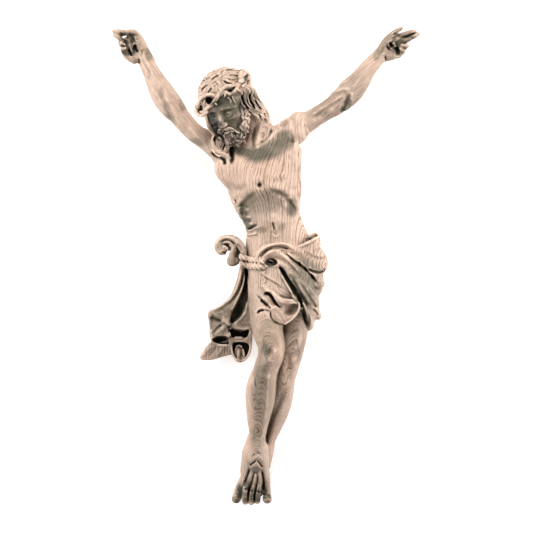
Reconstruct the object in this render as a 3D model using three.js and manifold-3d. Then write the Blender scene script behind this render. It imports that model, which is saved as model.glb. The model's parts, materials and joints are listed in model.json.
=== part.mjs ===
import * as THREE from 'three'
import Module from 'manifold-3d'

// A figure carved from one piece of wood, made to be fixed to a cross.
// It lies on its back: x to its left hand, y from feet to hands, z up from the cross to its front.
// The origin is in the flat on the back of the hips.
// The carving is drawn on a sheet SHEET units high: its pose, proportions and relief are shares of HEIGHT.

const HEIGHT = 480 // from the tips of the toes to the tips of the fingers
const CORD_THICKNESS = 6 // each of the two cords of the girdle
const TWIG_THICKNESS = 4 // the branches of the crown
const CLOTH_THICKNESS = 1.8 // step of the loincloth over the thighs
const PLANED_DEPTH = 2 // how far the back of the hips is planed away

const SHEET = 480 // height of the figure on the drawing sheet
const UNIT = HEIGHT / SHEET // millimetres to each unit of the sheet
const CORD = CORD_THICKNESS / UNIT
const TWIG = TWIG_THICKNESS / UNIT
const CLOTH = CLOTH_THICKNESS / UNIT
const SINK = PLANED_DEPTH / UNIT
const SHEET_X = 280 // the origin's place on the drawing sheet
const SHEET_Y = 255
const CELL = 2.4 // spacing of the sampled points, in sheet units
const FACES = 8600 // triangles kept
const FAR = 50 // distance given to empty space
const TINY = 1e-9
const LENGTH_COST = 2e-4 // keeps the triangles even where the wood is flat
const LEAST_COSINE = 0.2 // how far a triangle may lean over when a neighbouring edge is taken out
const FLATTEST = 1e-4 // below this a corner's planes are too alike to meet in one point
const NEAREST = 0.05 // least share of a grid edge kept between its end and a corner of the mesh
const FADE = 2.4 // how far a soft bump reaches, in its own widths
const WOOD_COLOUR = 0xd9bda2

// Turns rows of numbers drawn on the sheet (x right, y down, z up) into places around the origin.
function at(...rows) {
  return rows.map(([x, y, z = 0]) => [x - SHEET_X, SHEET_Y - y, z])
}

function one(x, y, z) {
  return at([x, y, z])[0]
}

// Places drawn on the sheet and laid on the front of the wood, lifted off it.
function laid(block, lift, ...rows) {
  return at(...rows).map(([x, y]) => [x, y, block.front(x, y) + lift])
}

function dot(a, b) {
  return a[0] * b[0] + a[1] * b[1] + a[2] * b[2]
}

// Directions and origin of a local frame: side, along and front.
class Frame {
  constructor(origin, side, along, front) {
    const y = new THREE.Vector3(...along).normalize()
    const x = new THREE.Vector3(...side)
    x.addScaledVector(y, -x.dot(y)).normalize()
    const z = front ? new THREE.Vector3(...front) : new THREE.Vector3().crossVectors(x, y)
    z.addScaledVector(y, -z.dot(y)).addScaledVector(x, -z.dot(x)).normalize()
    this.origin = origin
    this.axes = [x.toArray(), y.toArray(), z.toArray()]
  }

  out(p) {
    return [0, 1, 2].map(
      (k) => this.origin[k] + p[0] * this.axes[0][k] + p[1] * this.axes[1][k] + p[2] * this.axes[2][k],
    )
  }

  direction(v) {
    return [0, 1, 2].map((k) => v[0] * this.axes[0][k] + v[1] * this.axes[1][k] + v[2] * this.axes[2][k])
  }
}

// A frame leant, bowed and turned by three angles in degrees.
function turnedFrame(origin, roll, pitch, yaw) {
  const rad = THREE.MathUtils.degToRad
  const angles = new THREE.Euler(rad(pitch), rad(yaw), rad(roll), 'ZXY')
  const turn = new THREE.Matrix4().makeRotationFromEuler(angles)
  const side = new THREE.Vector3()
  const along = new THREE.Vector3()
  const front = new THREE.Vector3()
  turn.extractBasis(side, along, front)
  return new Frame(origin, side.toArray(), along.toArray(), front.toArray())
}

// Catmull-Rom curve through rows of numbers.
function smooth(rows, steps, closed = false) {
  const n = rows.length
  const last = closed ? n : n - 1
  const before = (k) => rows[0][k] * 2 - rows[1][k]
  const after = (k) => rows[n - 1][k] * 2 - rows[n - 2][k]
  const value = (i, k) => {
    if (closed) return rows[(i + n) % n][k]
    if (i < 0) return before(k)
    return i >= n ? after(k) : rows[i][k]
  }
  const path = []
  for (let i = 0; i < last; i++) {
    for (let s = 0; s < steps; s++) {
      const t = s / steps
      path.push(
        rows[0].map((_, k) => {
          const [a, b, c, d] = [value(i - 1, k), value(i, k), value(i + 1, k), value(i + 2, k)]
          const cubic = (3 * b - a - 3 * c + d) * t ** 3
          return 0.5 * (2 * b + (c - a) * t + (2 * a - 5 * b + 4 * c - d) * t ** 2 + cubic)
        }),
      )
    }
  }
  if (!closed) path.push(rows[n - 1])
  return path
}

function clamp(value, low, high) {
  return Math.min(Math.max(value, low), high)
}

// Smooth minimum: joins two distances with a fillet of about k.
function blend(a, b, k) {
  const h = Math.max(k - Math.abs(a - b), 0) / (k || 1)
  return Math.min(a, b) - h * h * k * 0.25
}

// Wood sampled on a grid as distances to its surface, negative inside.
class Block {
  constructor(low, high, step) {
    this.low = low
    this.step = step
    this.count = low.map((v, i) => Math.ceil((high[i] - v) / step) + 1)
    this.field = new Float32Array(this.count[0] * this.count[1] * this.count[2]).fill(FAR)
  }

  place(i, axis) {
    return this.low[axis] + i * this.step
  }

  // Grid range of a box given in a frame, grown by a margin.
  range(low, high, frame, margin) {
    const box = new THREE.Box3()
    for (let c = 0; c < 8; c++) {
      const p = [0, 1, 2].map((k) => ((c >> k) & 1 ? high[k] : low[k]))
      box.expandByPoint(new THREE.Vector3(...(frame ? frame.out(p) : p)))
    }
    const [a, b] = [box.min.toArray(), box.max.toArray()]
    const limit = (v, k) => clamp(v, 0, this.count[k] - 1)
    return {
      from: a.map((v, k) => limit(Math.floor((v - margin - this.low[k]) / this.step), k)),
      to: b.map((v, k) => limit(Math.ceil((v + margin - this.low[k]) / this.step), k)),
    }
  }

  // Calls visit with each grid point of a range: its index and its place in the frame.
  each({ from, to }, frame, visit) {
    const [, ny, nz] = this.count
    for (let i = from[0]; i <= to[0]; i++) {
      for (let j = from[1]; j <= to[1]; j++) {
        for (let k = from[2]; k <= to[2]; k++) {
          let x = this.place(i, 0)
          let y = this.place(j, 1)
          let z = this.place(k, 2)
          if (frame) {
            const { origin: o, axes } = frame
            const [dx, dy, dz] = [x - o[0], y - o[1], z - o[2]]
            x = dx * axes[0][0] + dy * axes[0][1] + dz * axes[0][2]
            y = dx * axes[1][0] + dy * axes[1][1] + dz * axes[1][2]
            z = dx * axes[2][0] + dy * axes[2][1] + dz * axes[2][2]
          }
          visit((i * ny + j) * nz + k, x, y, z)
        }
      }
    }
  }

  mix(index, distance, fillet, cut) {
    const now = this.field[index]
    this.field[index] = cut ? -blend(-now, distance, fillet) : blend(now, distance, fillet)
  }

  // An ellipsoid; turn gives its own side and along directions.
  ball(center, radii, fillet = 3, { frame, cut = false, turn } = {}) {
    let own = frame
    let middle = center
    if (turn) {
      own = new Frame(center, ...turn)
      if (frame) own = new Frame(frame.out(center), ...own.axes.map((v) => frame.direction(v)))
      middle = [0, 0, 0]
    }
    const [a, b, c] = radii
    const low = middle.map((v, k) => v - radii[k])
    const high = middle.map((v, k) => v + radii[k])
    this.each(this.range(low, high, own, fillet + 2 * this.step), own, (index, x, y, z) => {
      const [u, v, w] = [x - middle[0], y - middle[1], z - middle[2]]
      const k0 = Math.sqrt((u / a) ** 2 + (v / b) ** 2 + (w / c) ** 2)
      const k1 = Math.sqrt((u / (a * a)) ** 2 + (v / (b * b)) ** 2 + (w / (c * c)) ** 2) + 1e-6
      this.mix(index, (k0 * (k0 - 1)) / k1, fillet, cut)
    })
  }

  // A round tube through points, with one radius or a radius at each.
  tube(points, radii, fillet = 2, { frame, cut = false, steps = 6, curved = true } = {}) {
    let path = points.map((p, i) => [...p, Array.isArray(radii) ? radii[i] : radii])
    if (curved && path.length > 2) path = smooth(path, steps)
    if (frame) path = path.map((p) => [...frame.out(p), p[3]])
    const reach = Math.max(...path.map((p) => p[3]))
    const low = [0, 1, 2].map((k) => Math.min(...path.map((p) => p[k])) - reach)
    const high = [0, 1, 2].map((k) => Math.max(...path.map((p) => p[k])) + reach)
    const whole = this.range(low, high, null, fillet + 2 * this.step)
    const size = whole.to.map((v, k) => v - whole.from[k] + 1)
    const near = new Float32Array(size[0] * size[1] * size[2]).fill(FAR)
    const [, ny, nz] = this.count
    const local = (index) => {
      const k = index % nz
      const j = Math.floor(index / nz) % ny
      const i = Math.floor(index / (nz * ny))
      return ((i - whole.from[0]) * size[1] + j - whole.from[1]) * size[2] + k - whole.from[2]
    }
    for (let n = 0; n + 1 < path.length; n++) {
      const [a, b] = [path[n], path[n + 1]]
      const r = Math.max(a[3], b[3])
      const ab = [b[0] - a[0], b[1] - a[1], b[2] - a[2]]
      const length = dot(ab, ab) + TINY
      const from = [0, 1, 2].map((k) => Math.min(a[k], b[k]) - r)
      const to = [0, 1, 2].map((k) => Math.max(a[k], b[k]) + r)
      this.each(this.range(from, to, null, fillet + 2 * this.step), null, (index, x, y, z) => {
        const [u, v, w] = [x - a[0], y - a[1], z - a[2]]
        const h = clamp((u * ab[0] + v * ab[1] + w * ab[2]) / length, 0, 1)
        const gap = (u - h * ab[0]) ** 2 + (v - h * ab[1]) ** 2 + (w - h * ab[2]) ** 2
        const d = Math.sqrt(gap) - (a[3] + (b[3] - a[3]) * h)
        const here = local(index)
        if (d < near[here]) near[here] = d
      })
    }
    this.each(whole, null, (index) => this.mix(index, near[local(index)], fillet, cut))
  }

  // Rounded sections along y: rows of y, centre x, centre z, half width, half depth, with y rising.
  loft(rows, fillet = 3, { frame, cut = false, cap, power = 2 } = {}) {
    const path = smooth(rows, 8)
    const [first, last] = [path[0], path[path.length - 1]]
    const end = cap ?? Math.min(first[3], last[3])
    const least = (f) => Math.min(...path.map(f))
    const most = (f) => Math.max(...path.map(f))
    const low = [least((p) => p[1] - p[3]), first[0] - end, least((p) => p[2] - p[4])]
    const high = [most((p) => p[1] + p[3]), last[0] + end, most((p) => p[2] + p[4])]
    this.each(this.range(low, high, frame, fillet + 2 * this.step), frame, (index, x, y, z) => {
      const t = clamp(y, first[0], last[0])
      let n = 0
      while (n < path.length - 2 && path[n + 1][0] < t) n++
      const [a, b] = [path[n], path[n + 1]]
      const s = (t - a[0]) / (b[0] - a[0])
      const wide = a[3] + (b[3] - a[3]) * s
      const deep = a[4] + (b[4] - a[4]) * s
      const u = (x - a[1] - (b[1] - a[1]) * s) / wide
      const v = (y - t) / end
      const w = (z - a[2] - (b[2] - a[2]) * s) / deep
      const k0 = (Math.abs(u) ** power + Math.abs(v) ** power + Math.abs(w) ** power) ** (1 / power)
      const k1 = Math.sqrt((u / wide) ** 2 + (v / end) ** 2 + (w / deep) ** 2) + 1e-6
      this.mix(index, (k0 * (k0 - 1)) / k1, fillet, cut)
    })
  }

  // Raises, or with a negative height sinks, the surface along a line drawn on it from the front.
  relief(points, width, height, [low, high], { taper = true } = {}) {
    const path = smooth(points.map((p) => [p[0], p[1]]), 5)
    const reach = FADE * width
    const xs = path.map((p) => p[0])
    const ys = path.map((p) => p[1])
    const box = this.range(
      [Math.min(...xs) - reach, Math.min(...ys) - reach, low],
      [Math.max(...xs) + reach, Math.max(...ys) + reach, high],
      null,
      0,
    )
    const soft = 3
    let column = -1
    let bump = 0
    this.each(box, null, (index, x, y, z) => {
      const here = Math.floor(index / this.count[2])
      if (here !== column) {
        column = here
        let best = Infinity
        let along = 0
        for (let n = 0; n + 1 < path.length; n++) {
          const [ax, ay] = path[n]
          const [bx, by] = [path[n + 1][0] - ax, path[n + 1][1] - ay]
          const h = clamp(((x - ax) * bx + (y - ay) * by) / (bx * bx + by * by + TINY), 0, 1)
          const d = (x - ax - h * bx) ** 2 + (y - ay - h * by) ** 2
          if (d < best) {
            best = d
            along = (n + h) / (path.length - 1)
          }
        }
        bump = height * Math.exp(-best / width ** 2)
        if (taper) bump *= Math.sqrt(Math.min(4 * along * (1 - along), 1))
      }
      const above = clamp((z - low) / soft + 0.5, 0, 1)
      const below = clamp((high - z) / soft + 0.5, 0, 1)
      this.field[index] -= bump * above * below
    })
  }

  // A soft bump, or with a negative height a dent, around a point.
  swell(center, radii, height, { frame } = {}) {
    const low = center.map((v, k) => v - FADE * radii[k])
    const high = center.map((v, k) => v + FADE * radii[k])
    this.each(this.range(low, high, frame, 0), frame, (index, x, y, z) => {
      const [u, v, w] = [x - center[0], y - center[1], z - center[2]]
      const d = (u / radii[0]) ** 2 + (v / radii[1]) ** 2 + (w / radii[2]) ** 2
      this.field[index] -= height * Math.exp(-d)
    })
  }

  // A slab with a drawn outline. Front and back are a height, or a height with its slopes in x and y.
  plate(outline, front, back, fillet = 2, edge = 2, { cut = false } = {}) {
    const path = smooth(outline, 4, true)
    const middle = [0, 1].map((k) => path.reduce((sum, p) => sum + p[k], 0) / path.length)
    const height = (plane, x, y) => {
      const [h, sx, sy] = Array.isArray(plane) ? plane : [plane, 0, 0]
      return h + sx * (x - middle[0]) + sy * (y - middle[1])
    }
    const xs = path.map((p) => p[0])
    const ys = path.map((p) => p[1])
    const corners = [Math.min(...xs), Math.max(...xs)].flatMap((x) => [
      [x, Math.min(...ys)],
      [x, Math.max(...ys)],
    ])
    const low = [Math.min(...xs), Math.min(...ys), Math.min(...corners.map((c) => height(back, ...c)))]
    const high = [Math.max(...xs), Math.max(...ys), Math.max(...corners.map((c) => height(front, ...c)))]
    const side = this.sideways(path)
    this.each(this.range(low, high, null, fillet + 2 * this.step), null, (index, x, y, z) => {
      const across = Math.max(z - height(front, x, y), height(back, x, y) - z)
      this.mix(index, -blend(-side(index, x, y), -across, edge), fillet, cut)
    })
  }

  // Thickens whatever lies under a drawn outline, above a height, with a crisp border.
  layer(outline, thickness, low, edge = 0.8) {
    const xs = outline.map((p) => p[0])
    const ys = outline.map((p) => p[1])
    const side = this.sideways(outline)
    const from = [Math.min(...xs), Math.min(...ys), low]
    const to = [Math.max(...xs), Math.max(...ys), this.place(this.count[2] - 1, 2)]
    this.each(this.range(from, to, null, 2 * this.step), null, (index, x, y, z) => {
      const here = this.field[index]
      const inside = -Math.max(side(index, x, y), low - z)
      this.field[index] = Math.min(here, -blend(inside, thickness - here, edge))
    })
  }

  // Distance to a closed outline, worked out once for each column of the grid.
  sideways(path) {
    let column = -1
    let distance = 0
    return (index, x, y) => {
      const here = Math.floor(index / this.count[2])
      if (here !== column) {
        column = here
        let best = Infinity
        let inside = false
        for (let n = 0; n < path.length; n++) {
          const [a, b] = [path[n], path[(n + 1) % path.length]]
          const [ex, ey] = [b[0] - a[0], b[1] - a[1]]
          const h = clamp(((x - a[0]) * ex + (y - a[1]) * ey) / (ex * ex + ey * ey + TINY), 0, 1)
          best = Math.min(best, (x - a[0] - h * ex) ** 2 + (y - a[1] - h * ey) ** 2)
          if (a[1] > y !== b[1] > y && x < a[0] + (ex * (y - a[1])) / ey) inside = !inside
        }
        distance = (inside ? -1 : 1) * Math.sqrt(best)
      }
      return distance
    }
  }

  // Height of the first surface met from the front.
  front(x, y) {
    const i = Math.round((x - this.low[0]) / this.step)
    const j = Math.round((y - this.low[1]) / this.step)
    const start = (i * this.count[1] + j) * this.count[2]
    for (let k = this.count[2] - 2; k >= 0; k--) {
      const [a, b] = [this.field[start + k], this.field[start + k + 1]]
      if (a < 0) return this.place(k + a / (a - b), 2)
    }
    return 0
  }
}

// Closed triangle mesh of the surface, in millimetres.
// Each grid cell is split into six tetrahedra around its long diagonal.
function surface(block) {
  const [nx, ny, nz] = block.count
  const { field, step } = block
  const strides = [ny * nz, nz, 1]
  const sizes = [nx, ny, nz]
  const corner = (c) => (((c >> 2) & 1) * ny + ((c >> 1) & 1)) * nz + (c & 1)
  const offsets = [0, 1, 2, 3, 4, 5, 6, 7].map(corner)
  const routes = [[4, 6], [4, 5], [2, 6], [2, 3], [1, 5], [1, 3]]
  const odd = [true, false, false, true, true, false]
  const places = []
  const faces = []
  const known = new Map()
  const vertex = (a, b) => {
    const [p, q] = a < b ? [a, b] : [b, a]
    const key = p * 8 + offsets.indexOf(q - p)
    let found = known.get(key)
    if (found === undefined) {
      found = places.length / 3
      known.set(key, found)
      const t = clamp(field[p] / (field[p] - field[q]), NEAREST, 1 - NEAREST)
      for (let axis = 0; axis < 3; axis++) {
        const a = Math.floor(p / strides[axis]) % sizes[axis]
        const b = Math.floor(q / strides[axis]) % sizes[axis]
        places.push(UNIT * (block.low[axis] + step * (a + t * (b - a))))
      }
    }
    return found
  }
  const face = (a, b, c, flip) => faces.push(a, flip ? c : b, flip ? b : c)
  for (let i = 0; i + 1 < nx; i++) {
    for (let j = 0; j + 1 < ny; j++) {
      for (let k = 0; k + 1 < nz; k++) {
        const base = (i * ny + j) * nz + k
        let inside = 0
        for (const offset of offsets) if (field[base + offset] < 0) inside++
        if (inside === 0 || inside === 8) continue
        routes.forEach(([u, v], n) => {
          const corners = [base, base + offsets[u], base + offsets[v], base + offsets[7]]
          const mask = corners.reduce((sum, c, bit) => sum + (field[c] < 0 ? 1 << bit : 0), 0)
          if (mask === 0 || mask === 15) return
          const ins = [0, 1, 2, 3].filter((bit) => (mask >> bit) & 1)
          const outs = [0, 1, 2, 3].filter((bit) => !((mask >> bit) & 1))
          const even = (order) => {
            let swaps = 0
            for (let a = 0; a < 4; a++) for (let b = a + 1; b < 4; b++) if (order[a] > order[b]) swaps++
            return swaps % 2 === 0
          }
          const flip = even([...ins, ...outs]) !== odd[n]
          const edge = (a, b) => vertex(corners[a], corners[b])
          if (ins.length === 1) {
            face(edge(ins[0], outs[0]), edge(ins[0], outs[1]), edge(ins[0], outs[2]), flip)
          } else if (ins.length === 3) {
            face(edge(ins[0], outs[0]), edge(ins[1], outs[0]), edge(ins[2], outs[0]), flip)
          } else {
            const [p, q] = [edge(ins[0], outs[0]), edge(ins[0], outs[1])]
            const [r, s] = [edge(ins[1], outs[1]), edge(ins[1], outs[0])]
            face(p, q, r, flip)
            face(p, r, s, flip)
          }
        })
      }
    }
  }
  return { places: Float64Array.from(places), faces: Int32Array.from(faces) }
}

// Sum of squared distances to planes, as ten numbers for each vertex.
function planeError(q, o, x, y, z) {
  const square = q[o] * x * x + q[o + 4] * y * y + q[o + 7] * z * z
  const mixed = q[o + 1] * x * y + q[o + 2] * x * z + q[o + 5] * y * z
  const linear = q[o + 3] * x + q[o + 6] * y + q[o + 8] * z
  return square + 2 * mixed + 2 * linear + q[o + 9]
}

// The place with the least error of a sum of planes, or null where that isn't clear.
function leastErrorPlace(q) {
  const matrix = new THREE.Matrix3().set(q[0], q[1], q[2], q[1], q[4], q[5], q[2], q[5], q[7])
  const scale = (q[0] + q[4] + q[7]) / 3
  if (Math.abs(matrix.determinant()) < FLATTEST * scale ** 3) return null
  return new THREE.Vector3(-q[3], -q[6], -q[8]).applyMatrix3(matrix.invert()).toArray()
}

// Smallest-first queue of edges.
class Queue {
  constructor() {
    this.items = []
  }

  push(item) {
    const { items } = this
    let i = items.length
    items.push(item)
    while (i > 0) {
      const up = (i - 1) >> 1
      if (items[up].cost <= item.cost) break
      items[i] = items[up]
      i = up
    }
    items[i] = item
  }

  pop() {
    const { items } = this
    const top = items[0]
    const last = items.pop()
    const n = items.length
    if (n === 0) return top
    let i = 0
    for (;;) {
      let down = 2 * i + 1
      if (down >= n) break
      if (down + 1 < n && items[down + 1].cost < items[down].cost) down++
      if (items[down].cost >= last.cost) break
      items[i] = items[down]
      i = down
    }
    items[i] = last
    return top
  }
}

// Takes out edges with the least error until few triangles are left. The surface stays closed.
function simplify({ places, faces }, target) {
  const count = places.length / 3
  const quadrics = new Float64Array(count * 10)
  const around = Array.from({ length: count }, () => [])
  const stamp = new Int32Array(count)
  const gone = new Uint8Array(faces.length / 3)
  const point = (v) => [places[3 * v], places[3 * v + 1], places[3 * v + 2]]
  const normal = (a, b, c) => {
    const [u, v] = [[0, 1, 2].map((k) => b[k] - a[k]), [0, 1, 2].map((k) => c[k] - a[k])]
    return [u[1] * v[2] - u[2] * v[1], u[2] * v[0] - u[0] * v[2], u[0] * v[1] - u[1] * v[0]]
  }
  for (let f = 0; f < gone.length; f++) {
    const corners = [faces[3 * f], faces[3 * f + 1], faces[3 * f + 2]]
    const n = normal(...corners.map(point))
    const area = Math.hypot(...n) + TINY
    const plane = [n[0] / area, n[1] / area, n[2] / area]
    plane.push(-dot(plane, point(corners[0])))
    for (const v of corners) {
      around[v].push(f)
      let slot = 10 * v
      for (let i = 0; i < 4; i++) {
        for (let j = i; j < 4; j++) {
          quadrics[slot] += area * plane[i] * plane[j]
          slot++
        }
      }
    }
  }
  const neighbours = (v) => {
    const found = new Set()
    for (const f of around[v]) for (let k = 0; k < 3; k++) found.add(faces[3 * f + k])
    found.delete(v)
    return found
  }
  const sum = new Float64Array(10)
  const plan = (a, b) => {
    for (let i = 0; i < 10; i++) sum[i] = quadrics[10 * a + i] + quadrics[10 * b + i]
    const [p, q] = [point(a), point(b)]
    const middle = p.map((v, k) => (v + q[k]) / 2)
    const length = Math.hypot(p[0] - q[0], p[1] - q[1], p[2] - q[2])
    const best = leastErrorPlace(sum)
    const choices = [p, q, middle]
    if (best && Math.hypot(...best.map((v, k) => v - middle[k])) < 2 * length) choices.push(best)
    let [cost, target] = [Infinity, middle]
    for (const choice of choices) {
      const error = Math.max(planeError(sum, 0, ...choice), 0)
      if (error < cost) [cost, target] = [error, choice]
    }
    return { cost: cost + LENGTH_COST * length ** 4, a, b, target, stamps: stamp[a] + stamp[b] }
  }
  const queue = new Queue()
  for (let f = 0; f < gone.length; f++) {
    for (let k = 0; k < 3; k++) {
      const [a, b] = [faces[3 * f + k], faces[3 * f + ((k + 1) % 3)]]
      if (a < b) queue.push(plan(a, b))
    }
  }
  const turnsOver = (v, other, target) =>
    around[v].some((f) => {
      const corners = [faces[3 * f], faces[3 * f + 1], faces[3 * f + 2]]
      if (corners.includes(other)) return false
      const before = normal(...corners.map(point))
      const after = normal(...corners.map((c) => (c === v ? target : point(c))))
      return dot(before, after) < LEAST_COSINE * Math.hypot(...before) * Math.hypot(...after)
    })
  let left = gone.length
  while (left > target && queue.items.length > 0) {
    const { a, b, target: place, stamps } = queue.pop()
    if (stamp[a] < 0 || stamp[b] < 0 || stamp[a] + stamp[b] !== stamps) continue
    const ring = neighbours(b)
    if (!ring.has(a) || [...neighbours(a)].filter((v) => ring.has(v)).length !== 2) continue
    if (turnsOver(a, b, place) || turnsOver(b, a, place)) continue
    for (const f of around[b]) {
      if (faces[3 * f] === a || faces[3 * f + 1] === a || faces[3 * f + 2] === a) {
        gone[f] = 1
        left--
      } else {
        for (let k = 0; k < 3; k++) if (faces[3 * f + k] === b) faces[3 * f + k] = a
        around[a].push(f)
      }
    }
    for (const v of ring) around[v] = around[v].filter((f) => !gone[f])
    around[a] = around[a].filter((f) => !gone[f])
    for (let i = 0; i < 10; i++) quadrics[10 * a + i] += quadrics[10 * b + i]
    places.set(place, 3 * a)
    stamp[b] = -1
    stamp[a]++
    for (const v of neighbours(a)) {
      queue.push(plan(a, v))
    }
  }
  const kept = []
  for (let f = 0; f < gone.length; f++) {
    if (!gone[f]) kept.push(faces[3 * f], faces[3 * f + 1], faces[3 * f + 2])
  }
  const names = new Map()
  for (const v of kept) if (!names.has(v)) names.set(v, names.size)
  return {
    vertProperties: Float32Array.from([...names.keys()].flatMap((v) => point(v))),
    triVerts: Uint32Array.from(kept.map((v) => names.get(v))),
  }
}

const HEAD = turnedFrame(one(227, 100.5, 63), 22, 24, -30)

function torso(block) {
  block.loft(
    [
      [-46, -3, 32, 27, 22], [-20, 2.5, 31, 34.5, 28], [-3, 2, 31, 35.2, 29], [10, -1, 33, 33.5, 27],
      [20, -2.4, 36, 31, 23.5], [30, -5.7, 38, 29.6, 21], [40, -10.2, 39, 30.8, 21],
      [50, -13.5, 40, 33.6, 23.5], [60, -14.9, 40, 36.2, 27], [70, -16.6, 39.5, 38.1, 29],
      [85, -20.7, 38, 41.3, 28.5], [96, -23.5, 36.5, 41, 26], [106, -24, 34.5, 36, 22],
      [114, -21, 33, 27, 17],
    ],
    2, { cap: 12, power: 2.2 },
  )
  block.ball([-40, 90, 49], [25, 16, 10.5], 11, { turn: [[0.93, 0.36, 0], [-0.36, 0.93, 0]] })
  block.ball([-1, 95, 49], [25, 16, 10.5], 11, { turn: [[0.86, 0.5, -0.1], [-0.5, 0.86, 0]] })
  block.tube([[-30, 110, 38], [-45, 110, 36], [-58, 107, 32]], [15, 13.5, 12.5], 8)
  block.tube([[-16, 108, 38], [2, 118, 35], [16, 127, 31]], [14, 13, 12], 7)
  block.tube([[-23, 122, 30], [-8, 119, 28], [8, 124, 28]], [13, 9, 9], 6)
}

function torsoCarving(block) {
  const front = [38, 200]
  // rib arch, the hollow below it and the pit at the end of the breastbone
  block.swell(one(266, 205, 64), [16, 17, 12], -3.2)
  block.relief(
    at([261, 188, 0], [254, 196, 0], [248, 204, 0], [246, 212, 0], [247, 222, 0]), 5.0, -2.0, front,
  )
  block.relief(
    at([262, 189, 0], [272, 193, 0], [282, 198, 0], [289, 206, 0], [292, 216, 0]), 5.0, -2.0, front,
  )
  block.relief(at([258, 181, 0], [249, 190, 0], [241, 199, 0], [238, 208, 0]), 4.2, 1.3, front)
  block.relief(
    at([265, 182, 0], [276, 186, 0], [288, 191, 0], [296, 202, 0], [298, 214, 0]), 4.2, 1.3, front,
  )
  block.swell(one(259.5, 185, 66), [2.6, 3.2, 6], -3.2)
  block.relief(at([256, 152, 0], [258.5, 165, 0], [260, 180, 0]), 4.0, -0.9, front)
  // lower edges of the breast muscles
  block.relief(at([219, 172, 0], [228, 182, 0], [240, 187, 0], [252, 182, 0]), 4.5, -0.9, front)
  block.relief(at([268, 180, 0], [280, 182, 0], [291, 176, 0], [297, 166, 0]), 3.5, -0.9, front)
  block.relief(at([300, 116, 0], [301, 135, 0], [301, 155, 0], [300, 180, 0]), 3.0, 1.0, [20, 200])
  // side slips of muscle and ribs
  for (const [x, y] of [[232, 193], [236, 203], [241, 212], [245, 221]]) {
    block.relief(at([x, y, 0], [x + 4, y + 3, 0], [x + 9, y + 2, 0]), 1.8, -1.1, front)
  }
  for (const [x, y] of [[299, 192], [300, 202], [301, 212]]) {
    block.relief(at([x - 9, y - 1, 0], [x - 4, y + 1, 0], [x, y - 2, 0]), 1.8, -0.7, [20, 200])
  }
  // navel and the groove above it
  block.relief(at([269, 208, 0], [272, 218, 0], [274, 226, 0]), 2.0, -1.3, front)
  block.swell(one(275, 231, 62), [1.6, 2.6, 5], -3.6)
  block.relief(at([271, 233, 0], [275, 236, 0], [279, 233, 0]), 1.4, 0.7, front)
  block.swell(one(262, 228, 62), [7, 5, 8], 0.8)
  block.swell(one(288, 226, 60), [7, 6, 8], 0.8)
  // creases at the bent waist
  for (const [x, y, h] of [[247, 228, -1.6], [247, 233, -1.8], [248, 237, -1.4]]) {
    block.relief(at([x - 3, y, 0], [x + 2, y + 1, 0], [x + 9, y - 2, 0]), 1.3, h, [20, 200])
  }
  // collarbones, the hollow over the raised shoulder, the strap muscle of the neck
  block.relief(at([254, 148, 0], [264, 141, 0], [274, 131, 0], [280, 125, 0]), 2.2, 1.6, [30, 200])
  block.relief(at([261, 143, 0], [268, 137.5, 0], [273, 131, 0]), 1.2, -1.6, [30, 200])
  block.relief(at([262, 116, 0], [259, 130, 0], [255, 147, 0]), 3.0, 2.0, [30, 200])
  block.relief(at([268, 122, 0], [265, 133, 0], [258, 145, 0]), 3.5, -1.5, [30, 200])
  block.relief(at([222, 152, 0], [234, 152, 0], [250, 151, 0]), 2.4, 1.2, [30, 200])
  block.swell(one(254.5, 150, 52), [3.5, 4, 8], -2.0)
  block.ball(one(284, 123, 46), [5.5, 5.5, 9], 3, { cut: true })
  // wound in the side
  block.relief(at([233, 199, 0], [235.5, 202, 0], [236, 205, 0]), 1.0, -1.6, [25, 200])
}

function neck(block) {
  block.tube([[-20, 106, 34], [-22, 125, 39], [-30, 145, 48]], [16, 14.5, 15], 5)
}

function arms(block) {
  block.tube(
    [
      [-50, 106, 33], [-60, 107, 32], [-74, 115.2, 30], [-86.5, 123.5, 28], [-98.5, 136.7, 26],
      [-108.5, 149.5, 24], [-117.5, 162, 21], [-125.5, 177, 17], [-135, 196, 12],
    ],
    [15, 12.5, 10.3, 9.5, 10, 11.9, 12, 9.6, 7.2], 6,
  )
  block.tube(
    [
      [14, 124, 33], [20, 131, 32], [28, 133.5, 30], [42, 142, 28], [60, 153.5, 26], [69.8, 163.5, 24],
      [79.7, 174.7, 21], [86.7, 185, 17], [100, 200.6, 12],
    ],
    [14, 12, 10.8, 9.6, 11.2, 12.8, 10.6, 8.8, 7.3], 6,
  )
}

function armsCarving(block) {
  const side = [5, 200]
  block.relief(at([204, 146, 0], [192, 134, 0], [182, 122, 0]), 3.0, -1.3, side)
  block.relief(at([176, 118, 0], [168, 108, 0], [158, 90, 0]), 3.2, -1.2, side)
  block.relief(at([172, 98, 0], [160, 80, 0], [152, 65, 0]), 2.5, 1.0, side)
  block.swell(one(183, 124, 36), [7, 5, 8], -1.2)
  block.relief(at([146, 60, 0], [152, 70, 0], [160, 82, 0]), 1.3, -0.9, side)
  block.relief(at([312, 120, 0], [326, 112, 0], [340, 104, 0]), 3.0, -1.2, side)
  block.relief(at([340, 103, 0], [347, 98, 0], [353, 97, 0]), 2.0, -1.7, side)
  block.relief(at([346, 92, 0], [355, 84, 0], [366, 70, 0], [374, 60, 0]), 2.4, 1.0, side)
  block.relief(at([352, 93, 0], [360, 82, 0], [370, 68, 0], [377, 60, 0]), 2.2, -1.0, side)
  block.swell(one(343, 111, 28), [4, 4, 9], 1.2)
}

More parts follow.
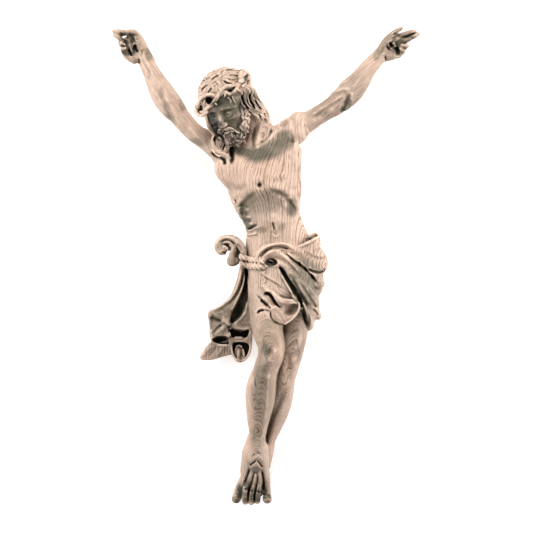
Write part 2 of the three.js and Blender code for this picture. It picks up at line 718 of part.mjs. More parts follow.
function legs(block) {
  const right = [
    [-202, -24.5, 35, 11, 11.5], [-197, -24.5, 36, 11.3, 11.5], [-188, -23.2, 36.5, 9.2, 10],
    [-177, -22, 37.5, 9.4, 10.5], [-165, -21.2, 40, 11.9, 12.5], [-152, -20.2, 43, 13.8, 14.5],
    [-137, -19.2, 47, 15.2, 16], [-126, -17.5, 51, 14.3, 16], [-114, -14, 56, 13, 15.5],
    [-102, -9.9, 60, 13.6, 16.5], [-91, -9, 59, 14.6, 17], [-75, -12.3, 54, 15.8, 18.5],
    [-55, -13.7, 46, 17.3, 20], [-35, -13, 39, 19, 22], [-7, -12, 34, 20, 23],
  ]
  const left = [
    [-203, -16.5, 17, 8, 9.5], [-190, -14, 19, 8.4, 9], [-177, -9, 22, 9.2, 10],
    [-165, -4.5, 26, 10.8, 11.5], [-152, -1, 30, 12, 13], [-140, 1, 34, 12.3, 14.5],
    [-126, 2.5, 40, 12.6, 15], [-114, 6, 45, 12.6, 15], [-102, 9, 48, 13.2, 15.5],
    [-87, 11.5, 46, 14.4, 16.5], [-70, 14, 42, 15, 17.5], [-55, 16, 38, 16, 19],
    [-35, 17.5, 34, 17.5, 21], [-7, 17, 32, 19, 22],
  ]
  block.loft(right, 4, { cap: 9 })
  block.loft(left, 1.5, { cap: 8 })
}

function legsCarving(block) {
  const front = [40, 200]
  // front knee
  block.swell(one(269, 354, 77), [8, 9, 8], 1.3)
  block.relief(at([261, 346, 0], [259, 356, 0], [264, 367, 0]), 2.4, -1.2, front)
  block.relief(at([277, 344, 0], [279.5, 354, 0], [276, 365, 0]), 2.4, -1.1, front)
  block.relief(at([263, 372, 0], [268, 370, 0], [274, 372, 0]), 2.4, -0.9, front)
  block.relief(at([265, 374, 0], [262, 395, 0], [258, 420, 0], [256, 440, 0]), 2.6, 1.2, [35, 200])
  block.relief(at([272, 378, 0], [270, 398, 0], [266, 420, 0]), 3.4, -0.8, front)
  block.relief(at([256, 372, 0], [253, 395, 0], [252, 418, 0]), 3.2, -0.7, front)
  block.relief(at([258, 318, 0], [258, 332, 0], [261, 344, 0]), 3.4, 0.9, front)
  block.relief(at([279, 322, 0], [280, 336, 0], [276, 346, 0]), 3.4, 0.9, front)
  // rear knee
  block.swell(one(293, 367, 63), [5, 7, 7], 1.3)
  block.relief(at([287, 360, 0], [288, 368, 0], [290, 376, 0]), 2.0, -1.0, [30, 200])
  block.relief(at([294, 378, 0], [289, 396, 0], [281, 420, 0], [274, 438, 0]), 2.4, 1.0, [20, 200])
}

function hand(block, wrist, knuckles, fingers, thumb, mounds, flat) {
  for (let i = 0; i < 4; i++) {
    block.tube(at(wrist, knuckles[i]), [5.2, 4.0 - (0.13 * i)], 3, { curved: false })
  }
  for (const [center, radii, side, along] of mounds) {
    block.ball(one(...center), radii, 3.5, { turn: [side, along] })
  }
  for (let i = 0; i < 4; i++) {
    const r = 3.4 - (0.12 * i)
    block.tube(at(knuckles[i], ...fingers[i]), [r, r - 0.6, r - 0.8, r - 1.4], 1.0, { steps: 4 })
  }
  block.tube(at(...thumb), [4.2, 3.4, 2.9, 2.1], 1.2)
  block.plate(at(...flat), 4.5, -1.5, 3, 1.5)
}

function hands(block) {
  hand(
    block, [143, 56, 9], [[130.5, 36.5, 5], [127.5, 40, 4.6], [126.5, 45, 4.6], [127.5, 50.5, 4.8]],
    [
      [[124, 32.6, 10], [118, 31.2, 12], [112.9, 30.9, 11.5]],
      [[121.5, 39, 10.5], [117, 36.6, 13], [113.2, 34.6, 13]],
      [[121.5, 44.5, 9], [121.3, 43.3, 14.5], [125, 44.6, 17.5]],
      [[123.4, 50, 8.5], [123.8, 48.2, 13], [127.6, 48, 15.5]],
    ],
    [[142, 47, 11], [138.4, 37.5, 10], [133.4, 31.2, 11], [126.6, 30.4, 13]],
    [
      [[138.5, 43.5, 10], [4.6, 9.5, 5.5], [0.83, -0.55, 0], [0.55, 0.83, 0]],
      [[133.5, 56, 8.5], [4.5, 8, 5.2], [0.55, 0.83, 0], [-0.83, 0.55, 0]],
    ],
    [[128, 38, 0], [141, 43, 0], [143, 54, 0], [136, 59, 0], [127, 52, 0], [125, 43, 0]],
  )
  hand(
    block, [381, 55.5, 9], [[399, 36.5, 5], [402, 41.5, 4.6], [402, 47, 4.6], [399, 51.5, 4.8]],
    [
      [[404.5, 33.8, 10], [410.5, 32.2, 12], [415.4, 31.4, 11.5]],
      [[408, 39.6, 10.5], [414, 36.6, 13], [419.4, 33.6, 13]],
      [[406.6, 46, 9], [406.9, 44.8, 14.5], [403.2, 44.6, 17.5]],
      [[403.2, 50.6, 8.5], [403.4, 48.6, 13], [400.4, 48, 15.5]],
    ],
    [[383.2, 47, 11], [388.7, 37.5, 10], [395.5, 32, 11], [401.7, 28.8, 13]],
    [
      [[387.5, 43.5, 10], [4.6, 9.5, 5.5], [0.83, -0.55, 0], [0.5, 0.83, 0]],
      [[392, 55.5, 8.5], [4.5, 8.5, 5.2], [-0.3, -0.95, 0], [0.95, -0.3, 0]],
    ],
    [[389, 39, 0], [400, 39, 0], [403, 47, 0], [400, 54, 0], [388, 58, 0], [383, 50, 0]],
  )
  for (const palm of [[131.5, 47.5, 10], [395.5, 47.5, 10]]) {
    block.ball(one(...palm), [4.2, 4.6, 5], 1.5, { cut: true })
  }
  // slot between the outstretched fingers
  block.ball(one(123, 35.9, 10), [4.6, 0.9, 12], 0.8, { cut: true })
  block.ball(one(409, 35.8, 10), [5, 0.9, 12], 0.8, { cut: true })
}

function feet(block) {
  // lower foot, its sole flat against the cross
  const left = new Frame(one(266.5, 451, 9), [0.83, -0.56, 0], [-0.56, -0.83, 0], [0, 0, 1])
  block.loft(
    [
      [-4, 0, 0, 6, 9], [8, -1, 1, 7.5, 11], [20, -1, 1, 8.5, 11], [34, 1, 0, 9, 10],
      [44, 2, -1, 8.5, 9], [50, 2, -2, 7.5, 8],
    ],
    3, { frame: left, cap: 4 },
  )
  block.tube(at([247, 480, 8], [240.5, 489, 8], [236.6, 498, 8]), [6, 4.8, 4.3], 1)
  // upper foot, lying over it
  block.loft(
    [
      [-232, -23.5, 25, 13.8, 6], [-225, -24, 28, 14, 8.5], [-215, -24.5, 31, 14, 11],
      [-203, -24.8, 34, 13.5, 14], [-192, -24, 36, 11.8, 13],
    ],
    3, { cap: 4 },
  )
  block.ball(one(256, 452, 24), [9, 12, 10], 3)
  block.tube(
    at([249, 478, 28], [246, 488, 28], [244.7, 497, 25.5], [244.6, 501, 22]), [3.4, 3.0, 2.9, 2.7],
    0.8,
  )
  block.tube(
    at([254, 480, 29], [252.4, 489, 29], [251.3, 498, 26], [251.2, 502, 22.5]), [3.4, 3.0, 2.9, 2.7],
    0.8,
  )
  block.tube(
    at([260, 478, 30], [258.6, 488, 29.5], [257.4, 496.5, 26.5], [257.2, 500, 23]),
    [3.4, 3.0, 2.9, 2.7], 0.8,
  )
  block.tube(
    at([265, 474, 30], [266.5, 486, 28.5], [267, 494, 26.5], [267, 498.6, 24.5]), [5, 4.4, 4.4, 4.2],
    1.2,
  )
}

function feetCarving(block) {
  const front = [22, 200]
  block.relief(at([250, 465.5, 0], [256.7, 460.3, 0]), 1.1, -2.0, front, { taper: false })
  block.relief(at([256.7, 460.3, 0], [262.3, 467.5, 0]), 1.1, -2.0, front, { taper: false })
  block.relief(at([250, 467, 0], [247, 477, 0], [244.4, 487, 0]), 1.3, -3.0, front)
  block.relief(at([261.5, 469, 0], [263, 478, 0], [264.2, 487, 0]), 1.3, -3.0, front)
  block.relief(at([254.5, 472, 0], [252.5, 480, 0], [250.5, 490, 0]), 0.9, -1.6, front)
  block.relief(at([257.7, 473, 0], [257.3, 482, 0], [255, 494, 0]), 0.9, -1.6, front)
  block.relief(at([254.5, 472, 0], [256, 473, 0], [257.8, 472.5, 0]), 0.9, -1.4, front, { taper: false })
  block.swell(one(245, 452, 36), [4, 6, 7], 1.2)
  block.relief(at([255, 454, 0], [258, 453.6, 0], [261, 454.5, 0]), 0.8, -1.0, front)
}

function cloth(block) {
  // wrapped about the hips and upper thighs, planed flat at the back
  block.loft(
    [[-50, 1, 38, 31, 25], [-35, 1.5, 35, 33, 29], [-15, 1.8, 32, 35.5, 31], [-4, 1.5, 32, 36, 30]], 3,
    { cap: 5, power: 2.4 },
  )
  block.ball([2, -6, 24 - SINK], [34, 34, 26], 6)
  // apron, hem dropping to the right of the front thigh
  block.layer(
    at(
      [246, 262, 0], [262, 262, 0], [280, 268, 0], [296, 290, 0], [300, 304, 0], [288, 308, 0],
      [272, 310, 0], [262, 312, 0], [246.5, 313, 0], [244, 290, 0],
    ),
    CLOTH, 30,
  )
  // lobe turned out at the hem
  block.plate(
    at(
      [270, 309, 0], [280, 304, 0], [291, 302, 0], [298.5, 304.5, 0], [298, 312, 0], [293.5, 319, 0],
      [285, 324.5, 0], [276, 321.5, 0], [270.5, 316, 0],
    ),
    [70, 0.25, 0.1], 48, 3, 2,
  )
  block.tube(at([262, 286, 66], [270, 294, 69], [279, 301, 72], [291, 303, 73]), [3, 3.4, 3.4, 2.6], 4)
  block.ball(
    one(291, 309.5, 74), [8.5, 5.0, 10], 1.0, { cut: true, turn: [[0.86, 0.5, 0], [-0.5, 0.86, 0]] },
  )
}

function swag(block) {
  // cloth gathered over the left hip
  block.plate(
    at(
      [292, 254, 0], [305, 245, 0], [318, 238, 0], [320, 246, 0], [325, 254, 0], [327.5, 262, 0],
      [325, 270, 0], [323, 276, 0], [323.5, 283, 0], [320, 293, 0], [317, 303, 0], [319, 312, 0],
      [315, 320, 0], [310, 328, 0], [303, 320, 0], [296, 300, 0], [284, 280, 0], [282, 262, 0],
    ),
    [50, -0.55, 0], [14, 0.25, 0], 6, 13,
  )
  // roll at the waist, ridges sweeping over the hip and round to the back
  block.tube(
    at(
      [257.5, 260, 58], [260, 251, 62], [268, 246.5, 63], [282, 245.5, 61], [294, 248.5, 57],
      [304, 256, 52],
    ),
    [2.4, 3.2, 3.6, 4.0, 4.5, 5], 1.5,
  )
  block.tube(
    at(
      [262, 258, 61], [270, 252.5, 64], [284, 253, 64], [299, 259, 58], [313, 265, 48], [321, 266, 36],
      [319, 262, 22],
    ),
    [3, 3.8, 4.6, 6, 6.5, 6.5, 5], 2,
  )
  block.tube(
    at(
      [266, 259, 62], [280, 263, 66], [293, 274, 66], [303, 287, 60], [311.5, 297, 48],
      [313.5, 299, 34], [309, 296, 20],
    ),
    [2.6, 4, 5, 6, 6.5, 6, 5], 2,
  )
  block.tube(
    at([276, 264, 62], [288, 280, 68], [298, 298, 66], [305, 313, 58], [309, 323, 47], [309, 322, 34]),
    [2.4, 3.6, 4.6, 5.2, 5, 4.4], 2,
  )
  block.tube(at([306, 262, 55], [316, 275, 47], [318.5, 283, 38], [314, 282, 24]), [3, 4.5, 5.5, 5], 2.5)
  block.tube(at([308, 300, 52], [316, 311, 42], [318.5, 316, 34], [314, 314, 24]), [2.5, 3.8, 3.6, 3], 2)
  block.tube(at([300, 250, 52], [312, 252, 44], [320, 254, 34], [318, 252, 22]), [3, 4.5, 5, 4], 3)
  // the flare at its top stands off the waist
  block.tube(
    at([293, 249, 57], [305, 242.5, 53], [317.6, 235.8, 45], [318.6, 237, 34], [316, 242, 24]),
    [2.4, 2.8, 2.4, 2.4, 2.4], 1.5,
  )
  block.tube(at([296, 249, 44], [306, 243.5, 40], [316.5, 238, 36]), [4.5, 4, 3.4], 2)
}

function train(block) {
  // end of the cloth hanging at the right hip: a back layer and folds over it
  block.plate(
    at(
      [243, 262, 0], [251, 266, 0], [252, 290, 0], [252, 330, 0], [250, 346, 0], [243, 357, 0],
      [232, 356.5, 0], [222, 357, 0], [208, 359, 0], [203, 354, 0], [210, 342, 0], [209.5, 325, 0],
      [211, 315, 0], [221.5, 308, 0], [231.5, 298, 0], [236.5, 285, 0], [239.5, 270, 0],
    ),
    [32, 0.2, 0], [15, 0.12, 0], 3, 5,
  )
  // pointed flap at the bottom
  block.plate(
    at(
      [212, 342, 0], [226, 346, 0], [234, 351, 0], [231, 355.5, 0], [221, 356.5, 0], [210, 360, 0],
      [199.5, 358.5, 0], [203, 350, 0],
    ),
    [29, 0.1, 0.1], [17, 0, 0], 2, 4,
  )
  // outer fold, a pipe that opens at its foot
  block.tube(
    at([243, 266, 42], [240, 286, 40], [233.5, 301, 38], [222, 310.5, 37], [214, 315, 34]),
    [3.6, 4.6, 5, 5, 4], 2.5,
  )
  block.tube(at([213, 314, 33], [213.5, 326, 33], [216, 337, 32]), [4.2, 5, 5.2], 3)
  block.tube(at([221, 316, 34], [223, 327, 35], [224.5, 338, 33]), [5.5, 5.5, 5], 3)
  // inner fold, with its rounded foot, and the pipe below it
  block.plate(
    at(
      [240, 300, 0], [249, 292, 0], [251, 310, 0], [251.5, 324, 0], [247, 329, 0], [240, 330.5, 0],
      [232, 329, 0], [227, 324, 0], [234, 314, 0],
    ),
    [40, 0.15, 0.1], [20, 0, 0], 2, 3,
  )
  block.tube(
    at(
      [248, 332, 32], [249, 342, 32], [246.5, 352.5, 31], [240.8, 359.6, 30], [235, 355, 30],
      [233, 345, 30],
    ),
    [3, 2.8, 2.8, 2.8, 2.8, 2.6], 2,
  )
}

function knot(block) {
  // a ribbon drawn up through the girdle, curling over and hanging down
  block.tube(
    at(
      [243.5, 259, 46], [243, 251, 45], [237, 243.3, 44], [228.5, 241, 42], [221, 242.8, 40],
      [218.6, 248, 38], [222, 250.5, 38], [227, 248.5, 40],
    ),
    [3.4, 4.2, 4.6, 4.6, 4.4, 4.2, 4, 2.8], 1.2,
  )
  block.tube(at([236, 247, 36], [228, 245, 34], [221.5, 247.5, 33]), [4.6, 4.8, 4.4], 3)
  block.tube(
    at([231, 247, 43], [233, 254, 44], [232, 260, 43], [231.4, 263, 42]), [2.8, 3.8, 4.4, 4.4], 1.5,
  )
  block.ball(one(235, 261, 42), [6.5, 4.8, 5], 2)
  block.tube(at([244.5, 253, 40], [246, 257, 38], [247, 263, 36]), [4, 5.5, 5], 2)
}

function clothCarving(block) {
  const front = [10, 200]
  const grooves = [
    [[[276, 251, 0], [290, 261, 0], [300, 267.5, 0], [312, 278, 0], [320, 288, 0]], 2.0, -3.0],
    [[[278, 264, 0], [287, 274, 0], [296, 290, 0], [304, 307, 0], [308, 322, 0]], 1.6, -3.6],
    [[[268, 264, 0], [276, 268, 0], [284, 280, 0], [293, 294, 0], [298, 304, 0]], 1.8, -2.2],
    [[[262, 250, 0], [270, 248.5, 0], [282, 249, 0], [292, 252, 0]], 1.2, -2.0],
    [[[304, 250, 0], [312, 258, 0], [320, 262, 0]], 2.6, -2.0],
    [[[322, 271, 0], [312, 272, 0], [304, 268, 0]], 1.6, -2.0],
    [[[223, 245.5, 0], [229, 243.5, 0], [236, 247, 0]], 1.3, -2.6],
  ]
  for (const [line, width, depth] of grooves) {
    block.relief(at(...line), width, depth, front)
  }
  // creases of the apron
  block.relief(at([256, 294, 0], [264, 301, 0], [272, 309, 0]), 1.5, -2.2, [40, 200])
  block.relief(at([264, 292.5, 0], [270, 294, 0], [274, 300, 0], [281, 306, 0]), 1.5, -3.0, [40, 200])
  block.relief(at([257, 313, 0], [264, 310.5, 0], [271, 311, 0]), 1.0, -1.6, [40, 200])
  // hollows of the train
  block.relief(at([247, 270, 0], [245.5, 290, 0], [240, 306, 0], [231, 320, 0]), 2.6, -4.5, [18, 200])
  block.relief(at([217, 314, 0], [218.5, 325, 0], [220, 334, 0]), 1.6, -2.4, [14, 200])
  block.ball(one(240, 334.5, 40), [10.5, 4.2, 16], 1.2, { cut: true })
  block.ball(one(220, 340, 42), [8.5, 3.6, 17], 1.2, { cut: true, turn: [[1, 0.1, 0], [-0.1, 1, 0]] })
  block.ball(one(241, 350, 42), [5.5, 7.5, 18], 1.2, { cut: true })
  block.tube(at([241, 344, 22], [240.5, 352, 25], [240, 358, 26]), [2.4, 3.4, 3.4], 1.0)
  block.tube(at([233, 339.5, 32], [239, 338.5, 32], [245, 339.5, 32]), [1.6, 2.2, 1.6], 1.0)
  block.relief(at([226, 347, 0], [214, 351, 0], [203, 357, 0]), 3.0, -1.6, front)
}

function rope(block) {
  // two cords side by side
  for (const [y0, y1] of [[257, 259.5], [264, 264.5]]) {
    const line = []
    for (let i = 0; i < 9; i++) {
      const t = i / 8
      const p = one(241 + 33 * t, y0 + (y1 - y0) * t + 3 * Math.sin((0.9 * Math.PI) * t), 0)
      line.push([p[0], p[1], Math.max(block.front(p[0], p[1]), 46) + 1.2])
    }
    block.tube(line, CORD / 2, 0.8)
  }
}

function head(block) {
  block.ball([-1.5, 9, -4], [26, 22.5, 28], 3, { frame: HEAD })
  block.ball([0, -8, 7], [17, 22, 18], 5, { frame: HEAD })
  block.ball([0, -28, 12], [12, 12, 11], 4, { frame: HEAD })
}

function face(block) {
  // brow, sockets, lowered lids, nose, cheeks and lips on plain proportions
  block.tube(
    [[-14, 1, 19], [-7, 3.5, 24], [0, 1.5, 25], [7, 3.5, 24], [14, 1, 19]], [1.6, 2.2, 2.2, 2.2, 1.6],
    3, { frame: HEAD },
  )
  block.tube([[0, 2, 23.5], [0, -6, 27], [0, -12.5, 29.5]], [2.0, 2.2, 3.0], 2, { frame: HEAD })
  for (const s of [-1, 1]) {
    block.ball([s * 7.6, -3.6, 27], [5.2, 3.6, 4], 2.5, { frame: HEAD, cut: true })
    block.ball([s * 7.6, -3.8, 20.8], [4.4, 3.2, 3.2], 1, { frame: HEAD })
    block.ball([s * 2.9, -13.6, 26.6], [2.2, 2.0, 2.6], 1, { frame: HEAD })
    block.ball([s * 11, -10, 18.5], [5, 5, 5], 5, { frame: HEAD })
    block.tube(
      [[s * 0.8, -16.8, 26.5], [s * 5.5, -18.5, 25], [s * 10, -24, 20]], [1.9, 2.2, 1.6], 1.5,
      { frame: HEAD },
    )
  }
  block.ball([0, -21.6, 24.8], [4.2, 1.7, 2], 1, { frame: HEAD })
}

function hair(block) {
  block.tube(at([241, 88, 58], [251, 104, 56], [261, 118, 50]), [11, 11, 7.5], 4)
  block.tube(at([230, 85, 50], [246, 102, 42], [260, 122, 38]), [16, 14, 9.5], 5)
  block.tube(at([210, 100, 60], [211.5, 112, 57], [218, 126, 54], [223, 138, 51]), [8, 7, 7, 5], 3)
  block.ball(one(201, 108, 62), [5, 8.5, 6], 3)
  // locks swept back from the temple
  const locks = [
    [[236, 93], [242, 101], [246, 109], [254, 113]], [[241, 91], [247, 98], [251, 106], [258, 112]],
    [[246, 89], [252, 96], [256, 104], [263, 109]], [[250, 88], [257, 96], [260.5, 103], [264, 109]],
    [[256, 113], [260, 116], [263, 119]],
  ]
  for (const lock of locks) {
    block.tube(laid(block, 0.4, ...lock), 2.3, 0.8)
  }
  // two long locks at the other side, twined before the breast
  block.tube(
    at(
      [206, 100, 66], [205, 112, 62], [208, 124, 59], [214, 133, 57], [221, 139, 56], [225, 145, 56],
      [219, 151, 55.5], [216, 156, 54],
    ),
    [4.5, 3.6, 2.8, 2.4, 2.6, 2.2, 2.0, 1.6], 0.8,
  )
  block.tube(
    at(
      [212, 106, 70], [217, 120, 68], [226, 131, 64], [230, 138, 61], [225, 146, 58], [219, 150, 57],
      [223, 156, 56.5], [227, 161, 56], [227.5, 166, 55.5],
    ),
    [4, 3.2, 3, 2.6, 2.4, 2.2, 2.2, 2.2, 1.8], 0.8,
  )
  block.tube(
    at(
      [209, 124, 59], [212, 134, 57], [213.5, 142, 56], [217, 150, 56], [225, 153, 57],
      [230.5, 160, 56], [231, 164, 55],
    ),
    [2.2, 2, 2, 2, 2.4, 2.2, 1.6], 0.8,
  )
}

function ringPoint(angle, radial, up) {
  const a = THREE.MathUtils.degToRad(angle)
  const h = 10.5 + 8 * Math.cos(a) + 1.5 * Math.sin(a)
  return [((27.5 + radial) * Math.cos(a)) - 1.5, h + up, -3 + (28.5 + radial) * Math.sin(a)]
}

function crown(block) {
  for (const [phase, amp, r] of [[0, 3.4, 0.55], [125, 3.6, 0.48], [245, 3.2, 0.5]]) {
    const line = []
    for (let angle = 0; angle < 361; angle += 8) {
      const w = THREE.MathUtils.degToRad(3 * angle + phase)
      line.push(ringPoint(angle, (0.55 * amp) * Math.cos(w), (1.25 * amp) * Math.sin(w)))
    }
    block.tube(line, TWIG * r, 0.5, { frame: HEAD, steps: 2 })
  }
  for (let i = 0; i < 15; i++) {
    const s = i % 2 ? 1 : -1
    const a = ringPoint(24 * i + 10, 1, 2 * s)
    const c = ringPoint(24 * i + 10 + 8 * s, 5.5, 5 * s)
    block.tube([a, c], [1.5, 0.5], 0.5, { frame: HEAD, curved: false })
  }
}

function figure(block) {
  torso(block)
  neck(block)
  legs(block)
  arms(block)
  torsoCarving(block)
  armsCarving(block)
  legsCarving(block)
  hands(block)
  feet(block)
  feetCarving(block)
  head(block)
  face(block)
  hair(block)
  crown(block)
  cloth(block)
  swag(block)
  train(block)
  knot(block)
  clothCarving(block)
  rope(block)
}

async function carve() {
  const block = new Block([-176, -258, -8], [152, 238, 108], CELL)
  figure(block)
  const wasm = await Module()
  wasm.setup()
  const mesh = new wasm.Mesh({ numProp: 3, ...simplify(surface(block), FACES) })
  // planed flat where it lies against the cross
  const flat = new wasm.Manifold(mesh).trimByPlane([0, 0, 1], 0).getMesh()
  const geometry = new THREE.BufferGeometry()
  geometry.setAttribute('position', new THREE.BufferAttribute(flat.vertProperties, 3))
  geometry.setIndex(new THREE.BufferAttribute(flat.triVerts, 1))
  geometry.computeVertexNormals()
  return geometry
}

const wood = new THREE.MeshStandardMaterial({ color: WOOD_COLOUR, roughness: 0.75, metalness: 0 })
const corpus = new THREE.Mesh(await carve(), wood)
corpus.name = 'corpus'
const part = new THREE.Group()
part.add(corpus)

export default part
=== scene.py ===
import json
from functools import partial

import bpy
import numpy as np
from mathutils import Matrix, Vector

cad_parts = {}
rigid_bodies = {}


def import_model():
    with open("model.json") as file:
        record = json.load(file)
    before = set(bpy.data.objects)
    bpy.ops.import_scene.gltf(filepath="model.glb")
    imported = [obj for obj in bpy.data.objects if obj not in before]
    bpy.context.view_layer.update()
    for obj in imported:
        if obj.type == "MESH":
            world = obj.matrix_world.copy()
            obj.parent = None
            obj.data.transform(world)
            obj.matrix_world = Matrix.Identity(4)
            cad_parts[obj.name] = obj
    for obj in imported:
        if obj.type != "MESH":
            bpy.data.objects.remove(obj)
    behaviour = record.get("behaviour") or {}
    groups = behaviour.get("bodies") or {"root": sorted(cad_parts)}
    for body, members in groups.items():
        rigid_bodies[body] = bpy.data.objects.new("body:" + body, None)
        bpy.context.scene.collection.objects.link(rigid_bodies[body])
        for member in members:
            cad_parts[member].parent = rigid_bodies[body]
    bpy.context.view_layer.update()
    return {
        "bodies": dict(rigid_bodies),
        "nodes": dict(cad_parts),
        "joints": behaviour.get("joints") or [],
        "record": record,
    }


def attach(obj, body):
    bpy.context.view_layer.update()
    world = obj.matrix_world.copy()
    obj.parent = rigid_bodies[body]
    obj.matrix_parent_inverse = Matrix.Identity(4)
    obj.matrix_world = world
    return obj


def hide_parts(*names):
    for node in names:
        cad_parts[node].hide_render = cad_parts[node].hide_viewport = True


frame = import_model()

# All shapes are in millimetres. Many places are given on a sheet, x right and y down, that lies over the
# figure with its own origin at the top left. Heights are above the plane of the cross.
MM = 0.001
SHEET_X, SHEET_Y = 280, 255  # the part's origin on the sheet
SHOT = 533  # side of the sheet, which fills the picture
SHOT_HEIGHT = 45  # height at which the picture's scale is true
LENS, SENSOR = 1500, 36
LIT = (0, 0, 0.03)  # where the lamps aim
FLOOR, FLOOR_REACH = -0.0005, 6

# room for the body, the head and the loincloth, from the lowest to the highest corner
BODY_ROOM = ((-176, -258, -2), (152, 238, 102))
HEAD_ROOM = ((-98, 82, 16), (-4, 200, 112))
CLOTH_ROOM = ((-86, -112, -2), (52, 26, 92))
OVERLAP = 1  # how far the body reaches into the loincloth
MOST_FACES = 195000  # triangles of one piece

SHADES = ("near", "wide", "shade_patch", "shadow_spot")  # attributes from which shade and highlights are painted into the wood's colour
SHADE_STEP = 1.2  # grid on which the hollows are measured
DETAILED = ((-257, -180), (174, 237))  # rows with the feet and hands, where it is finer
RING = 1.75  # growth rings of the wood
HEART = (108, 0, 12)  # from the trunk's heart, behind the figure and to its side
LEGS_TOP, LEGS_FADE, LEG_LEVEL = -30, 45, 60
LEG_SHIFT, LEG_STRETCH = 92, 1.3  # how much nearer the legs are to the heart, and how much finer their rings
KNEE, KNEE_FADE, SHIN_TILT = -92, 12, 0.55
# where each arm's length of wood starts and ends, where it is joined, and how fine its grain is
ARM_GRAIN = (
    ((215, 150, 33), (145, 59, 10), (214, 146, 33), 2.3),
    ((296, 128, 32), (381, 55, 10), (303, 122, 32), 1.5),
)
ARM_WOOD = (37, 90, 11)  # its place in its own trunk
EARLY = (0.535, 0.452, 0.38)
LATE = (0.742, 0.652, 0.592)
DEEP = (0.86, 0.82, 0.78)
PORE = (0.34, 0.27, 0.21)
PINK = (0.99, 0.92, 0.87)
# the next colours paint light: a highlight on ridges, shade in broad folds, near-black shade and shadow in
# deep hollows, and shade in given places of the sheet
RIDGE_HIGHLIGHT = (0.84, 0.74, 0.66)
FOLD_SHADE = (0.335, 0.305, 0.205)
SHADOW_DARK = (0.09, 0.09, 0.045)
SHADED = (0.43, 0.475, 0.42)
# painted shade: places of the sheet darkened where shade and shadow fall, as under the head and the ribs, in
# folds and between fingers and toes: x, y, half width, half height, strength
PAINTED_SHADE = (
    (240, 151, 12, 6, 0.9), (257, 154, 16, 10, 0.85), (273, 149, 13, 11, 0.85), (285, 140, 11, 12, 0.9),
    (268, 232, 22, 14, 0.2), (266, 203, 20, 13, 0.5), (249.4, 198.4, 8, 7, 0.65), (243, 206, 7, 5, 0.95),
    (243.6, 214, 5.4, 4.6, 1), (246, 221.4, 6, 4.4, 1), (249, 227.6, 6.4, 4, 1), (250, 214, 10, 12, 0.35),
    (276, 192.6, 10, 4, 0.65), (286, 197, 5, 4, 0.6), (291.6, 207, 5.4, 11, 0.95), (262, 230, 7, 4, 0.5),
    (281, 226, 6, 5, 0.4), (228, 112, 18, 16, 1), (229, 104, 15, 9, 0.5), (237, 132, 14, 13, 0.65),
    (252, 100, 14, 16, 0.7), (215, 84, 24, 18, 0.3), (212, 117, 4, 9, 1), (216.6, 127, 4, 8, 1),
    (221, 134, 4, 5, 1), (303, 284, 20, 34, 0.85), (303.6, 310, 3.4, 9, 1), (307, 320, 3, 7, 1),
    (266, 282, 14, 16, 0.15), (262, 388, 11, 42, 0.65), (257, 440, 8, 16, 0.6), (269, 334, 13, 23, 0.5),
    (266, 350, 6, 8, 0.6), (294, 338, 14, 28, 0.5), (279, 402, 3.5, 24, 0.35), (228, 318, 30, 60, 0.7),
    (230, 252, 18, 18, 0.45), (257, 478, 26, 28, 0.15), (254, 496, 18, 10, 0.3), (239.4, 492, 4, 9, 1),
    (236, 500.4, 5.4, 4, 0.95), (245, 485, 3.4, 5, 0.9), (249, 489, 4, 3.4, 0.9),
    (252.4, 492.4, 3, 2.6, 0.9), (258.6, 492, 3.6, 2.8, 0.95), (252, 499, 4, 3.4, 0.8),
    (257.4, 500.6, 3.6, 2.4, 0.7), (245.4, 500.4, 3.4, 3, 0.7), (265, 491, 3.6, 9, 1),
    (267.6, 497, 5.4, 3, 0.85), (268, 502.6, 5, 2.4, 0.7), (340, 98, 44, 40, 0.4),
    (347.8, 103, 4.6, 7.4, 0.8), (343, 109.6, 3.6, 4, 0.9), (318, 113, 10, 5, 0.3), (169, 119, 6, 7, 0.55),
    (173, 123.6, 4, 4, 0.4), (196, 142.4, 11, 5, 0.6), (161.6, 92, 3, 8, 0.35), (166.6, 107, 4, 12, 0.45),
    (182.6, 104, 4, 9, 0.5), (149, 74, 2, 9, 0.3), (128, 44, 17, 17, 0.55), (149, 54, 5, 8, 0.75),
    (125.6, 52.4, 5, 4, 0.85), (123.4, 35.6, 5, 2, 0.8), (137, 62, 5, 4, 0.6), (398, 42, 24, 20, 0.6),
    (376, 52, 5, 9, 0.6), (381.6, 51, 3, 4, 0.6), (413.6, 37, 3, 2, 0.8), (408, 41, 4, 2, 0.7),
)
